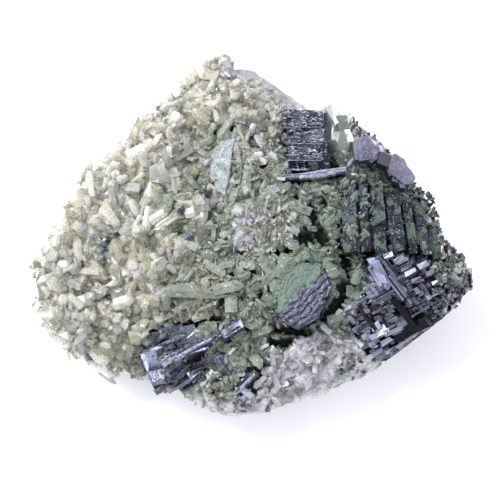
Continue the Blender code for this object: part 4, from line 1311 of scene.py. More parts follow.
            # Partly painted light: the deep tint is held back on the lit upper left, so the crystals there
            # are paler, and grows towards the lower right.
            dark = 0.4 if fine else max(0.1, min(1, (point.x - 0.5 * point.y + 58) / 36))
            tint = float(chance.beta(1.2, 2)) * dark
            heap = heaps[self.kind_at(point, chance.random())]
            heap.add(shape, standing(start, axis, roll(0, 6.3), size), tint, 0.08)
        tree = self.ground.tree("quartz_druse")
        for px, py, bearing, rise, length, width, thick, kind, tint in self.heroes:
            hit = self.eye.on(tree, px, py)
            if hit:
                axis = bearing_axis(bearing, rise)
                start = Matrix.Translation(hit[0] - axis * length * 0.5 + UP * 1.1)
                shape = shapes.prism if thick > 1.1 else shapes.stub
                heaps[kind].add(shape, start @ laid(axis, width, thick, length), tint, 0.03)
        for px, py, width, kind, tint in self.plates:
            hit = self.eye.on(tree, px, py)
            if hit:
                axis = Vector((roll(-0.25, 0.25), roll(-0.25, 0.25), 1))
                placed = standing(hit[0] + UP * 0.7, axis, roll(0, 1), Vector((width, width, 1.1)))
                heaps[kind].add(plate, placed, tint, 0.02)


@dataclass
class GreenCrust(Crust):
    """The porous chlorite crust, with the coated crystals and laths that make it up."""

    voxel: float = 0.36
    count: int = 1150
    # Coated laths that stand out: picture column and row, bearing, length, width, thickness, tint.
    laths: tuple = (
        (196, 292, -3, 14.5, 3.6, 2.2, 0.9), (228, 287, 12, 7, 3, 1.6, 0.7),
        (252, 354, -52, 8.2, 2.8, 1.6, 0.05), (231, 303, 92, 4.4, 3.4, 2.4, 0.3),
        (262, 330, 20, 5, 2.6, 1.6, 0.5), (214, 268, 150, 6, 2.2, 1.6, 0.3),
        (240, 278, 30, 5.4, 2.2, 1.6, 0.4), (318, 262, 146, 6.4, 2.6, 1.8, 0.4),
        (226, 128, 60, 5, 2.2, 1.6, 0.2), (300, 208, 160, 6, 2.4, 1.6, 0.5), (262, 200, 20, 7, 2.8, 1.6, 0.3),
        (278, 190, 170, 6, 2.2, 1.4, 0.2), (322, 190, 12, 5, 2.4, 1.6, 0.4), (247, 176, 80, 5, 2.4, 1.6, 0.2),
        (268, 268, 130, 5.4, 2.6, 1.6, 0.5), (182, 306, 30, 5.4, 2.2, 1.6, 0.5),
        (203, 316, 20, 5.2, 2, 1.4, 0.2), (300, 330, 172, 6.8, 2, 1.4, 0.7),
        (238, 160, 100, 8, 1.6, 1.4, 0.1), (244, 140, 118, 7.6, 1, 0.9, 0), (285, 266, 62, 6.4, 5.4, 3.2, 1),
        (282, 287, 20, 5.4, 4.8, 3, 0.9), (236, 371, 40, 3.6, 2.6, 1.8, 0), (330, 268, 130, 5, 2.6, 1.8, 0.5),
        (336, 318, 20, 4.4, 2.4, 1.6, 0.1), (357, 276, 75, 4, 2.6, 1.8, 0.1),
    )
    # Bare quartz within the crust: middle in plan and half lengths, in millimetres.
    pale: tuple = ((2.5, 2.4, 8, 4.2), (-2.4, -1.4, 2.6, 4), (8, -0.4, 4.2, 2.6), (6, 8, 6, 4), (1, 20, 5, 6))
    pale_kinds: tuple = (BROKEN, MILKY, BROKEN, CLEAR)
    bare_kinds: tuple = (CLEAR, CLEAR, MILKY, SMOKY)
    # Outline of the sparkling skin over the crust's upper left, in picture columns and rows, and how far its
    # points lie above the crust by turns.
    skin: tuple = (
        (226, 138), (214, 150), (209.5, 162), (212, 178), (217, 191), (226, 196), (228.5, 176), (232, 156),
        (235, 138),
    )
    skin_lift: Row = (0.7, 1.3)

    def base(self, material: Material) -> None:
        """Models the porous foot of the crust over its solid."""
        layers = ((6.5, 2.2), (3.4, 1.7, "VORONOI_F2_F1"), (1.3, 1, "VORONOI_F1"), (0.7, 0.35))
        made = self.relief("chlorite_crust", "chlorite_base", self.voxel, *layers)
        self.ground.finish(made, material, "chlorite", "chlorite_crust")

    def sparkling(self, material: Material) -> None:
        """Models the sparkling skin over its outline."""
        trees = [self.ground.tree(node) for node in ("chlorite_crust", "quartz_druse", "quartz_matrix")]
        points = [self.eye.highest(trees, px, py)[0] for px, py in self.skin]
        level = sum(point.z for point in points) / len(points)
        heights = [max(point.z, level) + self.skin_lift[k % 2] for k, point in enumerate(points)]
        points = [self.eye.shifted(point, height) for point, height in zip(points, heights)]
        made = flat_ring("quartz_skin", len(points), "TRIFAN")
        bearing = [math.atan2(v.co.y, v.co.x) % (2 * math.pi) for v in made.data.vertices]
        ring = sorted(made.data.vertices, key=lambda v: (v.co.length < 0.5, bearing[v.index]))
        middle = sum(points, Vector()) / len(points) + UP * 0.5
        for vert, point in zip(ring, anticlockwise(points) + [middle]):
            vert.co = point
        thicken(3.4)
        apply_modifier(made, "REMESH", mode="VOXEL", voxel_size=0.24)
        roughen(made, 3, 1.6)
        roughen(made, 0.8, 0.6, "VORONOI_F1")
        self.ground.finish(made, material, "druse_quartz")

    def coated(self, heaps: dict) -> None:
        """Adds the coated pieces to the green heap, with bare quartz grains among them."""
        chance = seeded(9)
        roll = chance.uniform
        shapes = self.shapes
        plate = shapes.plate
        forms = (shapes.shard, shapes.chip, plate, plate, plate, shapes.slant)
        for point, normal in Spread(self.ground, "chlorite_crust", 15).places(self.count, 1, 0.3):
            if self.hollows.open_at(point):
                continue
            length = roll(1, 3.8)
            width = length * roll(0.28, 0.6)
            axis = normal * 0.6 + Vector(roll(-1, 1, 3)) * 1.2
            if axis.dot(normal) < 0.1:
                axis += normal * 0.4
            axis.normalize()
            shape = forms[chance.integers(len(forms))]
            size = Vector((width, width * roll(0.4, 0.9), length))
            if shape is plate:
                size = Vector((width * 2.2, width * 1.8, width * 0.5))
            start = point - axis * size.z * 0.6
            luck = chance.random()
            x, y, _ = point
            bare = 0.12 + 0.4 * max(0, min(1, (y - 4) / 14)) + 0.25 * max(0, min(1, (2 - x) / 16))
            pale = any(((x - a) / wide) ** 2 + ((y - b) / deep) ** 2 < 1 for a, b, wide, deep in self.pale)
            kind = GREEN
            if luck < (0.9 if pale else bare):
                kind = (self.pale_kinds if pale else self.bare_kinds)[chance.integers(4)]
            placed = standing(start, axis, roll(0, 6.3), size)
            heaps[kind].add(shape, placed, float(chance.random()), 0.12)
        tree = self.ground.tree("chlorite_crust")
        other = self.ground.tree("quartz_druse")
        for px, py, bearing, length, width, thick, tint in self.laths:
            hit = self.eye.on(tree, px, py) or self.eye.on(other, px, py)
            if hit:
                axis = bearing_axis(bearing, 4)
                start = Matrix.Translation(hit[0] - axis * length * 0.5 + UP * 0.1)
                heaps[GREEN].add(shapes.stub, start @ laid(axis, width, thick, length), tint, 0.05)


@dataclass
class Blocks:
    """Cuboids with fine bevels, joined to one piece of galena."""

    name: str
    shapes: Prototypes
    bevel: float
    seed: int = 4

    def __post_init__(self) -> None:
        """Starts with no blocks."""
        self.heap = Heap(self.name, self.seed)

    def add(self, frame: Matrix, extent: Row, uneven: float = 0, tint: float = 0, lean: Row = (0, 0)) -> None:
        """Adds a block.

        Args:
            frame: the matrix of its axes.
            extent: its left, right, near, far, bottom and top.
            uneven: how far its corners are moved, as a share of its size.
            tint: its tone, from minus one, dark for tarnish and painted shade, to one, bright for a fresh
                face and a painted glint.
            lean: how far it leans around its own two level axes, in degrees.
        """
        left, right, near, far, bottom, top = extent
        leaning = framed(((left + right) / 2, (near + far) / 2, top, 0, *lean))
        sunk = Matrix.Translation((0, 0, (bottom - top) / 2))
        size = Matrix.Diagonal((right - left, far - near, top - bottom, 1))
        self.heap.add(self.shapes.block, frame @ leaning @ sunk @ size, tint, uneven)

    def build(self) -> Object:
        """Makes the joined and bevelled mesh."""
        made = self.heap.build()
        apply_modifier(made, "BEVEL", width=self.bevel, segments=1, limit_method="ANGLE")
        return made


@dataclass
class Galena(Part):
    """All the galena: block, ledge, slabs, ribs, steps, worn block, blades and the two lone crystals."""

    cube_frame: Row = (12.4, 22.3, 34, 0, 0, 0)
    terraces: tuple = (
        (-4.3, 4.4, -6, -1.8, -13, -1.2), (-4.7, 4.5, -2, 2.2, -13, -0.6), (-5.3, 4.4, 2, 6.3, -13, 0),
        (4.2, 5.5, -5.6, 5.8, -13, -1.8), (-3.8, 6.4, -8, 0, -14, -6.6),
    )
    ledge_frame: Row = (14.8, 13.5, 31.8, 8, 8, 0)
    ribs: tuple = (
        (23.1, 3.7, -6.2, 11.6, 34, 1), (26.9, 2.5, -6, 10.6, 33, 3), (30.3, 3.5, -6.2, 10.8, 33.6, 4),
        (34.4, 3.7, -5.8, 8, 32.4, 6), (38.1, 2.6, -6.2, 7, 30.8, 7), (41.2, 2.9, -6.4, 5.8, 29, 10),
        (44.2, 2.9, -7.2, 1.8, 26.2, 14),
    )
    rib_depth: float = 11.0
    rib_bed_frame: Row = (33.6, 1.4, 27.6, 6, 0, 18)
    rib_bed: Row = (-12.6, 8.4, -6.4, 6, -8, 1.6)
    steps_frame: Row = (38.4, -17.2, 24, 39.7, 26.7, -30.3)
    # The slope's height in its middle, its rise along and across, and how far it is domed.
    steps_slope: Row = (2.6, -0.342, 0.228, -0.0135)
    # Where the stepped crystal is cut off: the height of its foot, and the broken rim's bearing and distance.
    steps_foot: float = 7.0
    rim_bearing: float = -52.0
    rim_reach: float = 45.4
    steps_rows: tuple = (
        (-15.4, -12.4, -13, 1), (-12.2, -9, -19, 3), (-8.8, -5.6, -20, 6.5), (-5.4, -2.2, -17, 11),
        (-2, 1.2, -15.5, 10.5), (1.4, 4.6, -15, 9.5), (4.8, 8, -13, 8), (8.2, 11.6, -6, 6.5),
        (11.8, 15.6, -4, 5),
    )
    # The worn block: its middle in plan, the way that its layers face, their thickness, how much wider it is.
    worn_middle: Row = (11.6, -14.4)
    worn_layers: Row = (0.55, -0.6, 0.58)
    worn_step: float = 0.44
    worn_wider: float = 1.22
    tones: tuple = (-0.8, -0.5, -0.2, 0, 0, 0.2, 0.5)
    # Ridges and single terraces of the stepped crystal: two corners in picture columns and rows, a width in
    # millimetres or nought to fill the corners, how far it stands out, and its tone, a painted highlight when
    # high and painted shade when low.
    steps_marks: tuple = (
        ((378.4, 260.7), (402.7, 297.7), 0.5, 1.2, 0.9), ((384, 258), (396, 276), 0.4, 0.8, 0.5),
        ((390, 273.5), (411.6, 300.3), 0.45, 1.1, 0.8), ((390, 300), (419, 320), 0, 1.4, -1),
        ((357, 307), (378, 326), 0, 1, -0.9), ((385, 342), (429, 315), 3, 1, -1),
        ((367, 306), (394, 286), 0, 0.5, 0),
    )
    # Thin ridges of the stepped crystal: both ends in picture columns and rows, width, lean and tone, a
    # painted highlight when high and painted shade when low.
    ridges: tuple = (
        ((375, 262), (389, 290), 2.3, 14, 0.8), ((380, 257.5), (412, 303), 0.7, 0, 0.4),
        ((384, 255.5), (419, 304), 0.55, 0, 0.1), ((389, 255), (421, 299), 0.5, 0, -0.3),
        ((371, 268), (384, 291), 0.8, 20, 0.2), ((420, 302), (444, 290), 0.7, 0, 0.4),
        ((396, 346), (436, 318), 0.9, -20, 0.2), ((404, 352), (440, 325), 0.8, -20, 0),
        ((390, 352), (424, 330), 1, -24, 0.3), ((386, 311), (410, 297), 1.2, 30, -1),
        ((398, 324), (426, 308), 0.9, 0, 0.2), ((372, 314), (392, 303), 0.9, 0, 0),
        ((350, 308), (372, 294), 0.9, -10, 0.2), ((410, 318), (430, 306), 0.8, 10, 0.3),
        ((356, 334), (372, 322), 0.8, -20, 0.2), ((412, 336), (448, 310), 0.7, -20, 0.2),
    )
    # Level faces that mirror the light, brightened by a painted reflection in their tone: middle in picture
    # column and row, length, width, bearing, tone.
    mirrors: tuple = (
        (377, 271, 6.6, 1.8, -54, 0.7), (388, 255, 2.2, 1.1, 30, 0.3), (399, 259.5, 2.8, 1.3, 28, 0.5),
        (422.5, 265, 2.6, 1.3, 28, 0.5), (410, 272, 2.8, 1.2, 28, 0.1), (430, 272, 2.2, 1.1, 28, 0.2),
        (436, 282, 2.6, 1, 28, 0), (396, 330, 5.6, 1.2, 28, 0.4), (386, 341, 3, 1.2, 28, 0.4),
        (376, 326, 2.4, 1.8, 28, 0.9), (385.5, 323, 2.6, 1.5, 30, 0.7), (393, 321, 2.2, 1.4, 28, 0.6),
        (366.5, 335.5, 2.2, 1.7, 32, 0.6), (372, 344, 1.8, 1.3, 28, 0.3), (380, 333, 2.4, 1.2, 28, 0.5),
        (378, 352, 2.8, 1.2, 30, 0.2), (391, 350.5, 2.8, 1, 30, 0.4), (356.5, 304, 4.4, 2, 30, -0.1),
        (341, 314, 3.4, 1.8, 30, 0.1), (381, 296, 5.2, 2.6, 26, -0.4), (418.5, 326, 3.6, 1, 30, 0.4),
        (403, 344, 3.6, 1, 32, 0.3), (365, 312, 2.2, 1.1, 30, 0.1), (402, 287, 3.2, 0.8, -54, 0.1),
        (372, 287, 2.8, 1, -54, 0.1), (428, 296, 2.2, 1.2, -56, 0.1), (425, 309, 2, 0.9, 28, 0.6),
        (338, 318, 3.2, 1.6, 40, 0.9), (346, 311, 3, 1.6, 35, 0.8), (359, 300, 3.4, 1.6, 30, 0.9),
        (381, 329, 2.8, 1.6, 30, 0.9), (374, 336, 2.4, 1.4, 34, 0.8), (388, 331, 2.6, 1.4, 28, 0.9),
        (350, 320, 2.6, 1.6, 34, 0.5), (357, 328, 2.2, 1.3, 28, 0.6), (405, 268, 2.4, 1.1, 28, 0.3),
        (416, 280, 2.6, 1.1, 28, 0.2),
    )
    blades: tuple = (
        ((-17, -29.8, 25, 29, -28, 0), ((-6.4, 6.4, -1.6, 1.6, -10, 0.6), (-6, 5.2, 0.4, 3, -10, 0))),
        ((-25.2, -33, 19.8, -68, 0, -16), ((-4.6, 4.4, -1.8, 1.8, -10, 0.4), (-3.4, 3.8, 1, 2.6, -10, -1.4))),
        ((-19.6, -26.2, 25.4, 12, 6, 0), ((-5.2, 5.6, -2.2, 2, -9, 0), (-3, 2.6, -2.8, 2.6, -9, -0.8))),
        ((-17.4, -34.6, 20.6, 38, -26, 0), ((-3.6, 3.4, -1, 1, -9, 0),)),
        ((-13.2, -33.4, 22.6, 40, -22, 0), ((-3.8, 3.6, -1.1, 1.1, -9, 0),)),
        ((-21.6, -34.2, 19.6, 30, -24, 0), ((-3.4, 3, -1, 1, -9, 0),)),
    )
    blade_bed_frame: Row = (-19.4, -30.4, 17, 28, -18, 0)
    blade_bed: Row = (-6.2, 8, -4.2, 4.2, -8, 1.6)
    # Long thin blades: both ends in picture columns and rows, their heights, width, thickness, lean and tone,
    # a painted highlight when high and painted shade when low.
    laths: tuple = (
        ((156.5, 349), (160, 390), 26, 15.5, 3.6, 0.7, -12, 1),
        ((152.5, 356), (154, 382), 24.5, 17, 2.6, 0.6, -30, 0.7),
        ((163.8, 368), (214.5, 338.5), 23, 28.6, 2.6, 1.1, 46, -0.2),
        ((166, 364), (210, 338), 23.6, 28.8, 1.5, 0.9, -24, 0.5),
        ((172, 358), (203, 340.5), 25.4, 28.6, 1.6, 0.8, -38, 0.3),
        ((165, 374), (179, 364), 21.4, 23.6, 1.4, 0.7, -30, 0.2),
        ((169, 380), (186, 368), 19.6, 22.4, 1.8, 0.7, -34, 0.1),
        ((177.5, 386), (194, 374.5), 19.6, 22.6, 2, 0.8, -30, 0.1),
        ((184, 389), (199, 379), 18.8, 21.4, 1.6, 0.7, -40, -0.2),
        ((205, 387.5), (222, 376), 20, 23.4, 2, 0.8, 40, -0.2),
        ((204, 384), (219, 374), 21, 23.6, 1, 0.6, -30, 0.4),
        ((215, 354), (229, 385), 26.4, 20.6, 2.6, 0.8, 20, 0),
        ((220, 356), (233, 380), 26.4, 21.6, 1.6, 0.7, -10, 0.4),
        ((210, 362), (222, 384), 24.6, 20.4, 1.6, 0.7, 30, -0.2),
        ((230.5, 396), (253, 374), 19.6, 24.6, 1.4, 0.7, -36, 1),
        ((233, 397), (257, 373), 19.2, 24.2, 2.4, 0.9, 44, -0.5),
        ((236, 404), (250, 392), 16.6, 20.4, 3, 0.8, -10, 0.5),
        ((218.5, 338), (239.5, 328.5), 28.8, 28.6, 1.5, 1.4, 0, -0.4),
        ((186, 352), (208, 346), 26.2, 27.4, 1.6, 0.8, -30, 0.1),
        ((160, 344), (186, 334), 26.4, 28.4, 1.4, 0.8, -20, -0.1),
        ((150, 346), (166, 332), 25.6, 27.8, 1.6, 0.8, -30, -0.4),
        ((190, 372), (206, 360), 22.2, 25, 1.4, 0.6, 36, -0.6),
    )
    wedge: tuple = (
        (-2.2, -36.6, 20.6, 41, -26, 0), ((-3.4, 3.4, -1.2, 1.2, -9, 0.8), (-2.6, 2.6, 0.4, 2, -9, 0)),
    )
    lens: tuple = (
        (-5.4, -24.6, 29.4, 32, -10, 0), ((-2.8, 3, -1.3, 1.1, -7, 0.6), (-1.4, 3.4, -0.5, 1.7, -7, 0)),
    )
    # Slab outlines in picture columns and rows, with the height of the top and its slope along x and y.
    slabs: tuple = (
        ("galena_slab_1", (
            (31.6, (-0.1, -0.06),
             ((359.3, 137.1), (367.6, 135.8), (379.7, 149.8), (374, 159.4), (359.3, 161.3), (357.5, 150))),
            (31.2, (-0.06, 0.04), ((352.5, 141), (360.5, 137.6), (361, 150), (361, 161), (354.5, 159.5))),
            (30.9, (-0.12, -0.1), ((366, 158), (375, 155), (378, 158.5), (371, 163.5))),
        )),
        ("galena_slab_2", (
            (30.6, (-0.14, -0.02), ((380, 151), (390.5, 155), (389.3, 168.3), (376.6, 162.6))),
        )),
        ("galena_slab_3", (
            (30.2, (-0.12, -0.05),
             ((394.4, 153), (404.6, 158.8), (407.8, 166.4), (412.2, 170.9), (416, 177.9), (410.3, 184.3),
              (403.9, 184.9), (397.6, 179.2), (389.9, 174.1), (388.6, 167.7), (390.8, 157.5))),
            (30, (-0.16, 0.02), ((391.5, 155), (397, 153.5), (401, 163), (394, 169), (389.5, 166))),
            (29.8, (-0.08, -0.12), ((386.5, 168), (393, 169.5), (396, 175.5), (389.5, 176.5))),
            (29.4, (-0.14, -0.1), ((392, 175), (399.5, 177.5), (398.5, 183.5), (391.5, 181))),
            (29.3, (-0.02, -0.16), ((398, 181), (405, 183), (406, 188.5), (400, 188))),
        )),
    )

    def cube(self, material: Material, edge: Material) -> None:
        """Models the etched block with its terraces, and the ledge below it."""
        chance = seeded(31)
        roll = chance.uniform
        blocks = Blocks("galena_block_etched", self.shapes, 0.12)
        frame = framed(self.cube_frame)
        for left, right, near, far, bottom, top in self.terraces[:3]:
            x = left + roll(-0.2, 0.3)
            while x < right - 0.3:
                wide = min(roll(1.6, 4.6), right - x)
                low, high = near + roll(-0.25, 0.25), far + roll(-0.4, 0.15)
                drop = roll(-0.08, 0.04)
                blocks.add(frame, (x, x + wide + 0.2, low, high, bottom, top + drop), 0, -0.1)
                for _ in range(7):
                    y, deep = roll(low + 0.2, high - 0.9), roll(0.3, 0.8)
                    start = x + roll(-0.6, wide * 0.6)
                    end = min(right - 0.1, start + roll(0.8, 3.4))
                    lift = top + drop + roll(0.03, 0.16)
                    tone = chance.choice((-0.5, -0.1, 0.25))
                    blocks.add(frame, (start, end, y, y + deep, top - 2, lift), 0.02, tone)
                x += wide
            # Painted highlight: a bright strip along the near edge of each terrace.
            blocks.add(frame, (left, right - 0.3, near - 0.1, near + 0.12, top - 1.6, top + 0.05), 0.01, 0.7)
        # Painted shade: the lower terraces and the hollow below the block are darkened, and the thin bright
        # strips on the near edges are painted highlights.
        blocks.add(frame, self.terraces[3], 0.01, -0.3)
        blocks.add(frame, self.terraces[4], 0.01, -0.7)
        blocks.add(frame, (-4.2, 1, -7.9, -6, -12, -3.6), 0.01, -1)
        blocks.add(frame, (-4.5, -4, -7.8, -5.8, -12, -1.6), 0.02, 0.6)
        blocks.add(frame, (0.8, 3.4, -7.2, -5.8, -12, -1.8), 0.02, 0, (8, 10))
        blocks.add(frame, (-4.2, 0.9, -8.3, -7.8, -12, -2.6), 0.02, 0.4)
        self.ground.finish(blocks.build(), material, "galena", "galena_cube")
        ledge = Blocks("galena_ledge_edge", self.shapes, 0.14)
        frame = framed(self.ledge_frame)
        x = -8.2
        while x < 7.6:
            run = roll(0.8, 2.8)
            thick = 0.95 - abs(x) * 0.07
            sag = -0.5 + x * x * 0.008
            top = 0.9 + roll(-0.15, 0.1)
            lean = (roll(-14, -6), 0)
            ledge.add(frame, (x, x + run + 0.1, sag - thick, sag + thick * 0.7, -9, top), 0.01, 0, lean)
            # Painted light: the strip along the far edge is lightened as a highlight and the lower strip
            # along the near edge is darkened as shade.
            ledge.add(frame, (x, x + run + 0.1, sag + thick * 0.4, sag + thick, -9, top + 0.15), 0.02, 0.5)
            ledge.add(frame, (x, x + run, sag - thick - 0.4, sag - thick + 0.3, -9, top - 0.5), 0.02, -0.5)
            x += run
        self.ground.finish(ledge.build(), edge, "galena", "galena_ledge")

    def slab_pieces(self, materials: tuple) -> None:
        """Models the three smooth cleavage slabs.

        Args:
            materials: the material of each.
        """
        for (node, plates), material in zip(self.slabs, materials):
            parts = [self.plate(f"{node}_cleaved", *plate) for plate in plates]
            select_only(parts[0])
            for part in parts[1:]:
                part.select_set(True)
            bpy.ops.object.join()
            self.ground.finish(parts[0], material, "galena", node)

    def plate(self, name: str, height: float, slope: Row, outline: tuple) -> Object:
        """Models one cleaved plate.

        Args:
            name: its name.
            height: the height of its top.
            slope: how its top rises along x and y.
            outline: its outline in picture columns and rows.

        Returns:
            The plate, in millimetres.
        """
        points = [self.eye.level(px, py, height) for px, py in outline]
        middle = sum(points, Vector()) / len(points)
        made = flat_ring(name, len(points), "NGON")
        for vert, point in zip(made.data.vertices, anticlockwise(points)):
            rise = (point.x - middle.x) * slope[0] + (point.y - middle.y) * slope[1]
            vert.co = (point.x, point.y, height + rise)
        thicken(9)
        apply_modifier(made, "BEVEL", width=0.12, segments=1, limit_method="ANGLE")
        return made

    def ribbed(self, material: Material) -> None:
        """Models the ribs, each split across into short uneven lengths."""
        chance = seeded(17)
        roll = chance.uniform
        blocks = Blocks("galena_ribs", self.shapes, 0.1)
        blocks.add(framed(self.rib_bed_frame), self.rib_bed)
        for x, width, near, far, top, turn in self.ribs:
            frame = framed((x, (near + far) / 2, top, turn, 0, 0))
            half = (far - near) / 2
            y = -half
            while y < half - 0.4:
                run = min(roll(2.4, 7.6), half - y)
                drop = roll(-0.45, 0.05)
                left = -width / 2 + roll(0, 0.3)
                right = width / 2 - roll(0.05, 0.4)
                lean, tone = tuple(roll(-2.5, 2.5, 2)), roll(-0.5, 0.1)
                blocks.add(frame, (left, right, y, y + run, -self.rib_depth, drop), 0.004, tone, lean)
                for _ in range(3):
                    start, long = roll(y, y + run * 0.6), roll(0.8, 3.4)
                    side, thin = roll(left, right - 0.8), roll(0.3, 1.3)
                    extent = (side, min(right, side + thin), start, min(y + run, start + long), -2,
                              drop + roll(0.06, 0.26))
                    blocks.add(frame, extent, 0.01, roll(-0.4, 0.3))
                y += run
            # Painted shade: darker sunken blocks along the sides of each rib, in the clefts between ribs.
            for _ in range(6):
                at, wide = roll(-half, half - 1), roll(0.4, 1)
                side = width / 2 if chance.random() < 0.5 else -width / 2
                extent = (side - wide / 2, side + wide / 2, at, at + roll(0.8, 3.4), -6,
                          roll(-2.6, -0.9))
                blocks.add(frame, extent, 0.02, -0.6)
        self.ground.finish(blocks.build(), material, "galena", "galena_columns")

    def stepped(self, material: Material) -> None:
        """Models the stepped crystal in small terraces, down to the rim."""
        chance = seeded(8)
        roll = chance.uniform
        blocks = Blocks("galena_steps", self.shapes, 0.06)
        frame = framed(self.steps_frame)
        middle, along, across, dome = self.steps_slope

        def height(a: float, b: float) -> float:
            """Gives the height of the crystal's slope at a point of its own plan."""
            return middle + along * a + across * b + dome * ((a + 4) ** 2 + b ** 2)

        def split(left: float, right: float, near: float, far: float) -> None:
            """Splits a field until its parts are small, and raises a block on each."""
            wide, deep = right - left, far - near
            if wide > 7.5 or (wide > 1.8 and chance.random() < 0.5):
                at = left + wide * roll(0.3, 0.7)
                split(left, at, near, far)
                split(at, right, near, far)
                return
            if deep > 2.2 or (deep > 0.9 and chance.random() < 0.5):
                at = near + deep * roll(0.3, 0.7)
                split(left, right, near, at)
                split(left, right, at, far)
                return
            top = height((left + right) / 2, (near + far) / 2)
            top = round(top / 0.9) * 0.9 + roll(-1, 0.5)
            lean, tone = tuple(chance.normal(0, 3.5, 2)), chance.choice(self.tones)
            # Painted shade: the sunken blocks are darkened like slots.
            if chance.random() < 0.25:
                top, tone = top - roll(1.2, 3), -0.8
            blocks.add(frame, (left, right - 0.03, near, far - 0.03, top - 9, top), 0, tone, lean)

        for near, far, left, right in self.steps_rows:
            split(left, right, near - 0.1, far + 0.3)
        inverse = frame.inverted()
        for first, last, side, rise, tint in self.steps_marks:
            ends = []
            for mark_end in (first, last):
                start, way = inverse @ self.eye.place(), inverse.to_3x3() @ self.eye.ray(*mark_end)
                spot = start + way * ((0 - start.z) / way.z)
                for _ in range(6):
                    spot = start + way * ((height(spot.x, spot.y) - start.z) / way.z)
                ends.append(spot)
            low = [min(ends[0][k], ends[1][k]) for k in (0, 1)]
            high = [max(ends[0][k], ends[1][k]) for k in (0, 1)]
            thin = 0 if high[0] - low[0] < high[1] - low[1] else 1
            if side:
                centre = (low[thin] + high[thin]) / 2
                low[thin], high[thin] = centre - side / 2, centre + side / 2
            top = height((low[0] + high[0]) / 2, (low[1] + high[1]) / 2) + rise
            blocks.add(frame, (low[0], high[0], low[1], high[1], top - 7, top), 0, tint)
        tree = self.ground.tree("galena_stepped")
        for px, py, long, wide, bearing, tint in self.mirrors:
            hit = self.eye.on(tree, px, py)
            if hit:
                turned = (bearing + roll(-7, 7), roll(0, 18), roll(-14, 0))
                frame = framed((hit[0].x, hit[0].y, hit[0].z + roll(0.1, 0.6), *turned))
                blocks.add(frame, (-long / 2, long / 2, -wide / 2, wide / 2, -4, 0.3), 0.09, tint - 0.15)
                # Painted shade: a darker block below each of these faces.
                below = (-long * 0.3, long * 0.62, -wide * 0.9, -wide * 0.3, -4, -0.2)
                blocks.add(frame, below, 0.09, tint - 0.6)
        for first, last, width, lean, tint in self.ridges:
            ends = [self.eye.on(tree, *spot) for spot in (first, last)]
            if all(ends):
                start, end = (hit[0] + UP * 0.9 for hit in ends)
                self.lath(blocks, start, end, width, 1.4, lean, tint)
        made = blocks.build()
        self.trim(made)
        self.ground.finish(made, material, "galena", "galena_stepped")

    def lath(self, blocks: Blocks, start: Vector, end: Vector, width: float, thick: float, lean: float,
             tint: float) -> None:
        """Adds a long thin crystal between two points.

        Args:
            blocks: the piece that takes it.
            start: where it begins.
            end: where it ends.
            width: how wide it is.
            thick: how thick it is, below its face.
            lean: how far its face leans around its length, in degrees.
            tint: its tone.
        """
        axis = end - start
        flat = Matrix.Rotation(math.radians(lean), 3, axis) @ axis.cross(UP).normalized()
        third = flat.cross(axis.normalized())
        turned = Matrix((flat * width, third * thick, axis)).transposed().to_4x4()
        placed = Matrix.Translation(start - third * thick * 0.5) @ turned
        blocks.heap.add(self.shapes.stub, placed, tint, 0.04)

    def trim(self, obj: Object) -> None:
        """Cuts the stepped crystal off at its foot and at the broken rim."""
        outward = bearing_axis(self.rim_bearing, -3)
        rim = bearing_axis(self.rim_bearing, 0) * self.rim_reach + UP * 14
        bm = bmesh.new()
        bm.from_mesh(obj.data)
        for point, normal in ((rim, outward), (UP * self.steps_foot, -UP)):
            everything = [*bm.verts, *bm.edges, *bm.faces]
            cut = bmesh.ops.bisect_plane(bm, geom=everything, dist=1e-4, plane_co=point, plane_no=normal,
                                         clear_outer=True)
            edges = [e for e in cut["geom_cut"] if isinstance(e, bmesh.types.BMEdge)]
            bmesh.ops.holes_fill(bm, edges=edges)
        bm.to_mesh(obj.data)
        bm.free()

    def worn(self, material: Material) -> None:
        """Models the worn block with soft edges."""
        made = self.ground.copy("galena_block", "galena_block_worn")
        apply_modifier(made, "REMESH", mode="VOXEL", voxel_size=0.22)
        roughen(made, 3, 1.2)
        self.layered(made)
        apply_modifier(made, "SMOOTH", iterations=1, factor=0.5)
        roughen(made, 1.6, 0.5, "VORONOI_F2_F1")
        roughen(made, 0.7, 0.35)
        self.ground.finish(made, material, "galena", "galena_block")

    def layered(self, obj: Object) -> None:
        """Steps the worn block into thin layers, under an almost flat top."""
        points = read_points(obj)
        x, y, z = points.T
        still = x.min() * 0.25 + x.max() * 0.75
        x[:] = still + (x - still) * self.worn_wider
        top = z.max() - 1.5 - (x - self.worn_middle[0]) * 0.1 + (y - self.worn_middle[1]) * 0.06
        z -= np.maximum(z - top, 0) * 0.85
        lay = np.array(self.worn_layers) / np.linalg.norm(self.worn_layers)
        drift = np.sin(x * 0.7 + y * 0.4) * 0.7 + np.sin(y * 1.1 - x * 0.5 + 1) * 0.5
        drift += np.sin(x * 2.3 + y * 1.9) * 0.16
        level = (points @ lay + drift) / self.worn_step
        part = level - np.floor(level)
        uneven = np.clip(0.4 + np.sin(x * 1.3 - y * 0.8) * 0.7, 0.1, 0.9)
        points += lay * ((part ** 6 - part) * self.worn_step * uneven)[:, None]
        write_points(obj, points)

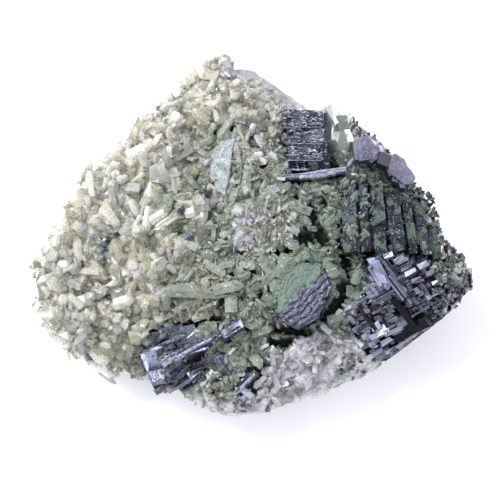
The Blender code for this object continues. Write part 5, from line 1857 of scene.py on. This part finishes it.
    def bladed(self, material: Material) -> None:
        """Models the blades and the small laths between them."""
        chance = seeded(12)
        roll = chance.uniform
        blocks = Blocks("galena_blades_grown", self.shapes, 0.1)
        blocks.add(framed(self.blade_bed_frame), self.blade_bed)
        for frame, extents in self.blades:
            for extent in extents:
                blocks.add(framed(frame), extent, 0.01)
            left, right, near, far, _, top = extents[0]
            for _ in range(7):
                start = roll(left, right - 1.6)
                side = roll(near, far - 0.4)
                extent = (start, start + roll(1.2, 3.6), side, side + roll(0.3, 0.8), -4,
                          top + roll(0, 0.35))
                blocks.add(framed(frame), extent, 0.01)
        for first, last, low, high, width, thick, lean, tint in self.laths:
            start, end = self.eye.level(*first, low), self.eye.level(*last, high)
            self.lath(blocks, start, end, width, thick, lean, tint)
        tree = self.ground.tree("galena_blades")
        for _ in range(46):
            px, py = roll(156, 232), roll(336, 386)
            hit = self.eye.on(tree, px, py)
            if hit:
                frame = framed((*hit[0], roll(24, 48), roll(-30, 0), roll(-8, 8)))
                long = roll(0.8, 2.4)
                near, far, top = -roll(0.2, 0.5), roll(0.2, 0.5), roll(0, 0.6)
                extent = (-long, long, near, far, -2.5, top)
                blocks.add(frame, extent, 0.02, roll(-0.7, 0.3))
        self.ground.finish(blocks.build(), material, "galena", "galena_blades")
        for node, (frame, extents) in (("galena_wedge", self.wedge), ("galena_lens", self.lens)):
            lone = Blocks(f"{node}_grown", self.shapes, 0.16)
            for extent in extents:
                lone.add(framed(frame), extent, 0.02)
            left, right, near, far, _, top = extents[0]
            for k in range(3):
                side = near + 0.3 * k
                extent = (left + 0.8 * k, right - 0.5 * k, side, side + 0.4, -3, top + 0.12 * k)
                lone.add(framed(frame), extent)
            self.ground.finish(lone.build(), material, "galena", node)


@dataclass
class Grains(Part):
    """Small dark grains on the quartz."""

    # Picture column and row, size, how many together, tint.
    spots: tuple = (
        (158, 110, 1.9, 3, 0.8), (163, 113, 1.2, 2, 0.1), (157, 118, 1, 2, 0.5), (92.5, 190, 1, 2, 0),
        (74, 197, 0.7, 2, 0.2), (122.6, 207, 0.7, 2, 0.3), (151, 204.5, 0.9, 3, 0.5), (118, 233, 1.2, 3, 0.1),
        (96, 240, 1.4, 3, 0.8), (104, 244, 1.5, 4, 0.5), (108, 240, 1.2, 3, 0.1), (98, 250, 1.7, 4, 0.9),
        (107, 250, 1.1, 3, 0.2), (102, 256, 1, 3, 0.8), (80.6, 270, 1.5, 2, 0.35), (206, 195, 1.9, 3, 0),
        (181, 210, 1.3, 2, 0.1), (187, 239, 2, 3, 0.3), (174, 196, 1, 3, 0.6), (108, 299, 1.2, 2, 0.2),
        (190, 163, 1, 4, 0.2), (197, 160, 0.8, 3, 0.4), (148, 170, 1.1, 4, 0.8), (96, 330, 1, 2, 0.4),
        (171, 308, 1.4, 3, 0.1), (134, 247, 0.9, 2, 0.4), (214, 208, 0.9, 3, 0.1),
    )

    def add(self, heaps: dict) -> None:
        """Adds the grains to the dark heap."""
        chance = seeded(41)
        roll = chance.uniform
        trees = [self.ground.tree("quartz_druse"), self.ground.tree("chlorite_crust")]
        for px, py, size, count, tint in self.spots:
            for _ in range(count):
                spread = size * 1.1
                dx, dy = roll(-spread, spread) * 1.6, roll(-spread, spread) * 1.6
                hit = self.eye.highest(trees, px + dx, py + dy)
                if not hit:
                    continue
                x, y, z = hit[0]
                frame = framed((x, y, z + 0.6 + size * 0.4, *roll(-40, 40, 3)))
                wide = size * roll(0.5, 1)
                deep, high = wide * roll(0.6, 1), size * roll(0.8, 1.2)
                shade = min(1, max(0, tint + roll(-0.15, 0.15)))
                placed = frame @ Matrix.Diagonal((wide, deep, high, 1))
                heaps[DARK].add(self.shapes.block, placed, shade, 0.06)


@dataclass
class Studio:
    """The white floor, the soft light and the camera."""

    eye: Eye
    shift: Vector
    key_power: float = 10.5
    key_size: float = 0.6
    key_place: Row = (-0.52, 0.5, 0.82)
    top: str = "#f4f4ff"
    low: str = "#24262e"
    surround: float = 1.2
    lit_side: Row = (-0.34, 0.42, 0.84)

    def floor(self) -> None:
        """Lays the floor."""
        deselect()
        bpy.ops.mesh.primitive_plane_add(size=3, location=(0, 0, -0.0001))
        made = bpy.context.active_object
        made.name = "floor"
        bpy.ops.object.transform_apply(location=True)
        made.data.materials.append(FloorFinish().make())

    def light(self) -> None:
        """Sets the soft key light and the surround, which is dark low down on the near and right sides."""
        data = bpy.data.lights.new("key", "AREA")
        data.energy, data.size, data.shape = self.key_power, self.key_size, "DISK"
        key = linked("key", data)
        key.location = self.key_place
        key.rotation_euler = (-Vector(self.key_place)).to_track_quat("-Z", "Y").to_euler()
        world = bpy.data.worlds.new("surround")
        world.use_nodes = True
        tree = world.node_tree
        place = add_node(tree, "TexCoord").outputs["Generated"]
        dot = add_node(tree, "VectorMath", {0: place, 1: self.lit_side}, operation="DOT_PRODUCT")
        share = between(tree, dot.outputs["Value"], -0.22, 0.3)
        shade = blended(tree, share, srgb(self.low), srgb(self.top))
        feed(tree, tree.nodes["Background"], {"Color": shade, "Strength": self.surround})
        bpy.context.scene.world = world
        bpy.context.scene.view_settings.view_transform = "Standard"

    def camera(self) -> None:
        """Sets the camera at the photograph's angle."""
        data = bpy.data.cameras.new("view")
        data.lens, data.sensor_width = self.eye.lens, self.eye.sensor
        data.clip_start, data.clip_end = 0.01, 20
        made = linked("view", data)
        made.location = (self.eye.place() + self.shift) * MM
        made.rotation_euler = self.eye.axes()[2].to_track_quat("-Z", "Y").to_euler()
        bpy.context.scene.camera = made


def main() -> None:
    """Builds and dresses the specimen."""
    logging.basicConfig(level=logging.INFO, format="%(message)s")
    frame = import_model()
    ground, eye = Ground.of(frame["nodes"]), Eye()
    shapes = Prototypes()
    finishes = {
        CLEAR: QuartzFinish("clear_quartz", "#fffeeb", "#dedfbd", 0.85, 0.17, 0.6),
        MILKY: QuartzFinish("milky_quartz", "#fbfae8", "#d2d3b8", 0.5, 0.26, 0.7),
        STAINED: QuartzFinish("iron_stained_quartz", "#f1efdc", "#dcd7b6", 0.6, 0.18),
        SMOKY: QuartzFinish("smoky_quartz", "#cbcbc7", "#68685f", 0.6, 0.1),
        BROKEN: QuartzFinish("broken_quartz", "#f0f0f2", "#babcc4", 0.35, 0.26, 0.3),
        LEAD: GalenaFinish("galena_chips", "#3b3b40", "#17181a", 0.4, 0.8, 0.5, 0.1, 0.2, "#8f9197"),
        GREEN: ChloriteFinish(),
        DARK: SulphideFinish(),
    }
    slots = {GREEN: "chlorite", DARK: "dark_grain", LEAD: "galena"}
    heaps = {kind: Heap(kind.value, 50 + k) for k, kind in enumerate(Kind)}
    materials = {kind: finish.make() for kind, finish in finishes.items()}
    hollows = Hollows(eye)
    bare, druse = Bare(ground, shapes, eye, hollows), Druse(ground, shapes, eye, hollows)
    crust = GreenCrust(ground, shapes, eye, hollows)
    bare.matrix(MassiveQuartzFinish().make())
    druse.base(FootFinish().make())
    crust.base(materials[GREEN])
    crust.sparkling(SkinFinish().make())
    druse.crystals(heaps)
    crust.coated(heaps)
    bare.broken(heaps)
    Grains(ground, shapes, eye).add(heaps)
    for kind, heap in heaps.items():
        stands = tuple(f"grain_{k}" for k in range(1, 5)) if kind is DARK else ()
        ground.finish(heap.build(), materials[kind], slots.get(kind, "druse_quartz"), *stands)
    galena = Galena(ground, shapes, eye)
    fresh_and_glint = GalenaFinish("galena_fresh", "#9a9ba8", "#1c1c22", 0.36, 0.4, fresh_and_glint="#c2c9e2")
    galena.cube(GalenaFinish("galena_etched", "#676872", "#17181b", 0.34, 0.95, 0.5, 0.36, streak=0.4).make(),
                GalenaFinish("galena_edge", "#9194a3", "#42434d", 0.4, 0.6, 0.5, 0.5).make())
    galena.slab_pieces((GalenaFinish("galena_slab", "#8a899c", "#4c4c59", 0.4, 0.75, 0.5, 0.1).make(),
                        GalenaFinish("galena_slab_dark", "#5c5f66", "#3f4346", 0.4, 0.4).make(),
                        GalenaFinish("galena_slab_far", "#868497", "#535362", 0.4, 0.6, 0.5, 0.06).make()))
    galena.ribbed(GalenaFinish("galena_ribs", "#4a4b55", "#202125", 0.36, 0.8, 0.6, 0.04, 0.4).make())
    galena.stepped(fresh_and_glint.make())
    galena.worn(WornFinish().make(ground.shift))
    galena.bladed(GalenaFinish("galena_blades", "#75778a", "#202127", 0.3, 0.75, 0.7, 0.12, 0.12).make())
    studio = Studio(eye, ground.shift)
    studio.floor()
    studio.light()
    studio.camera()


if __name__ == "__main__":
    main()
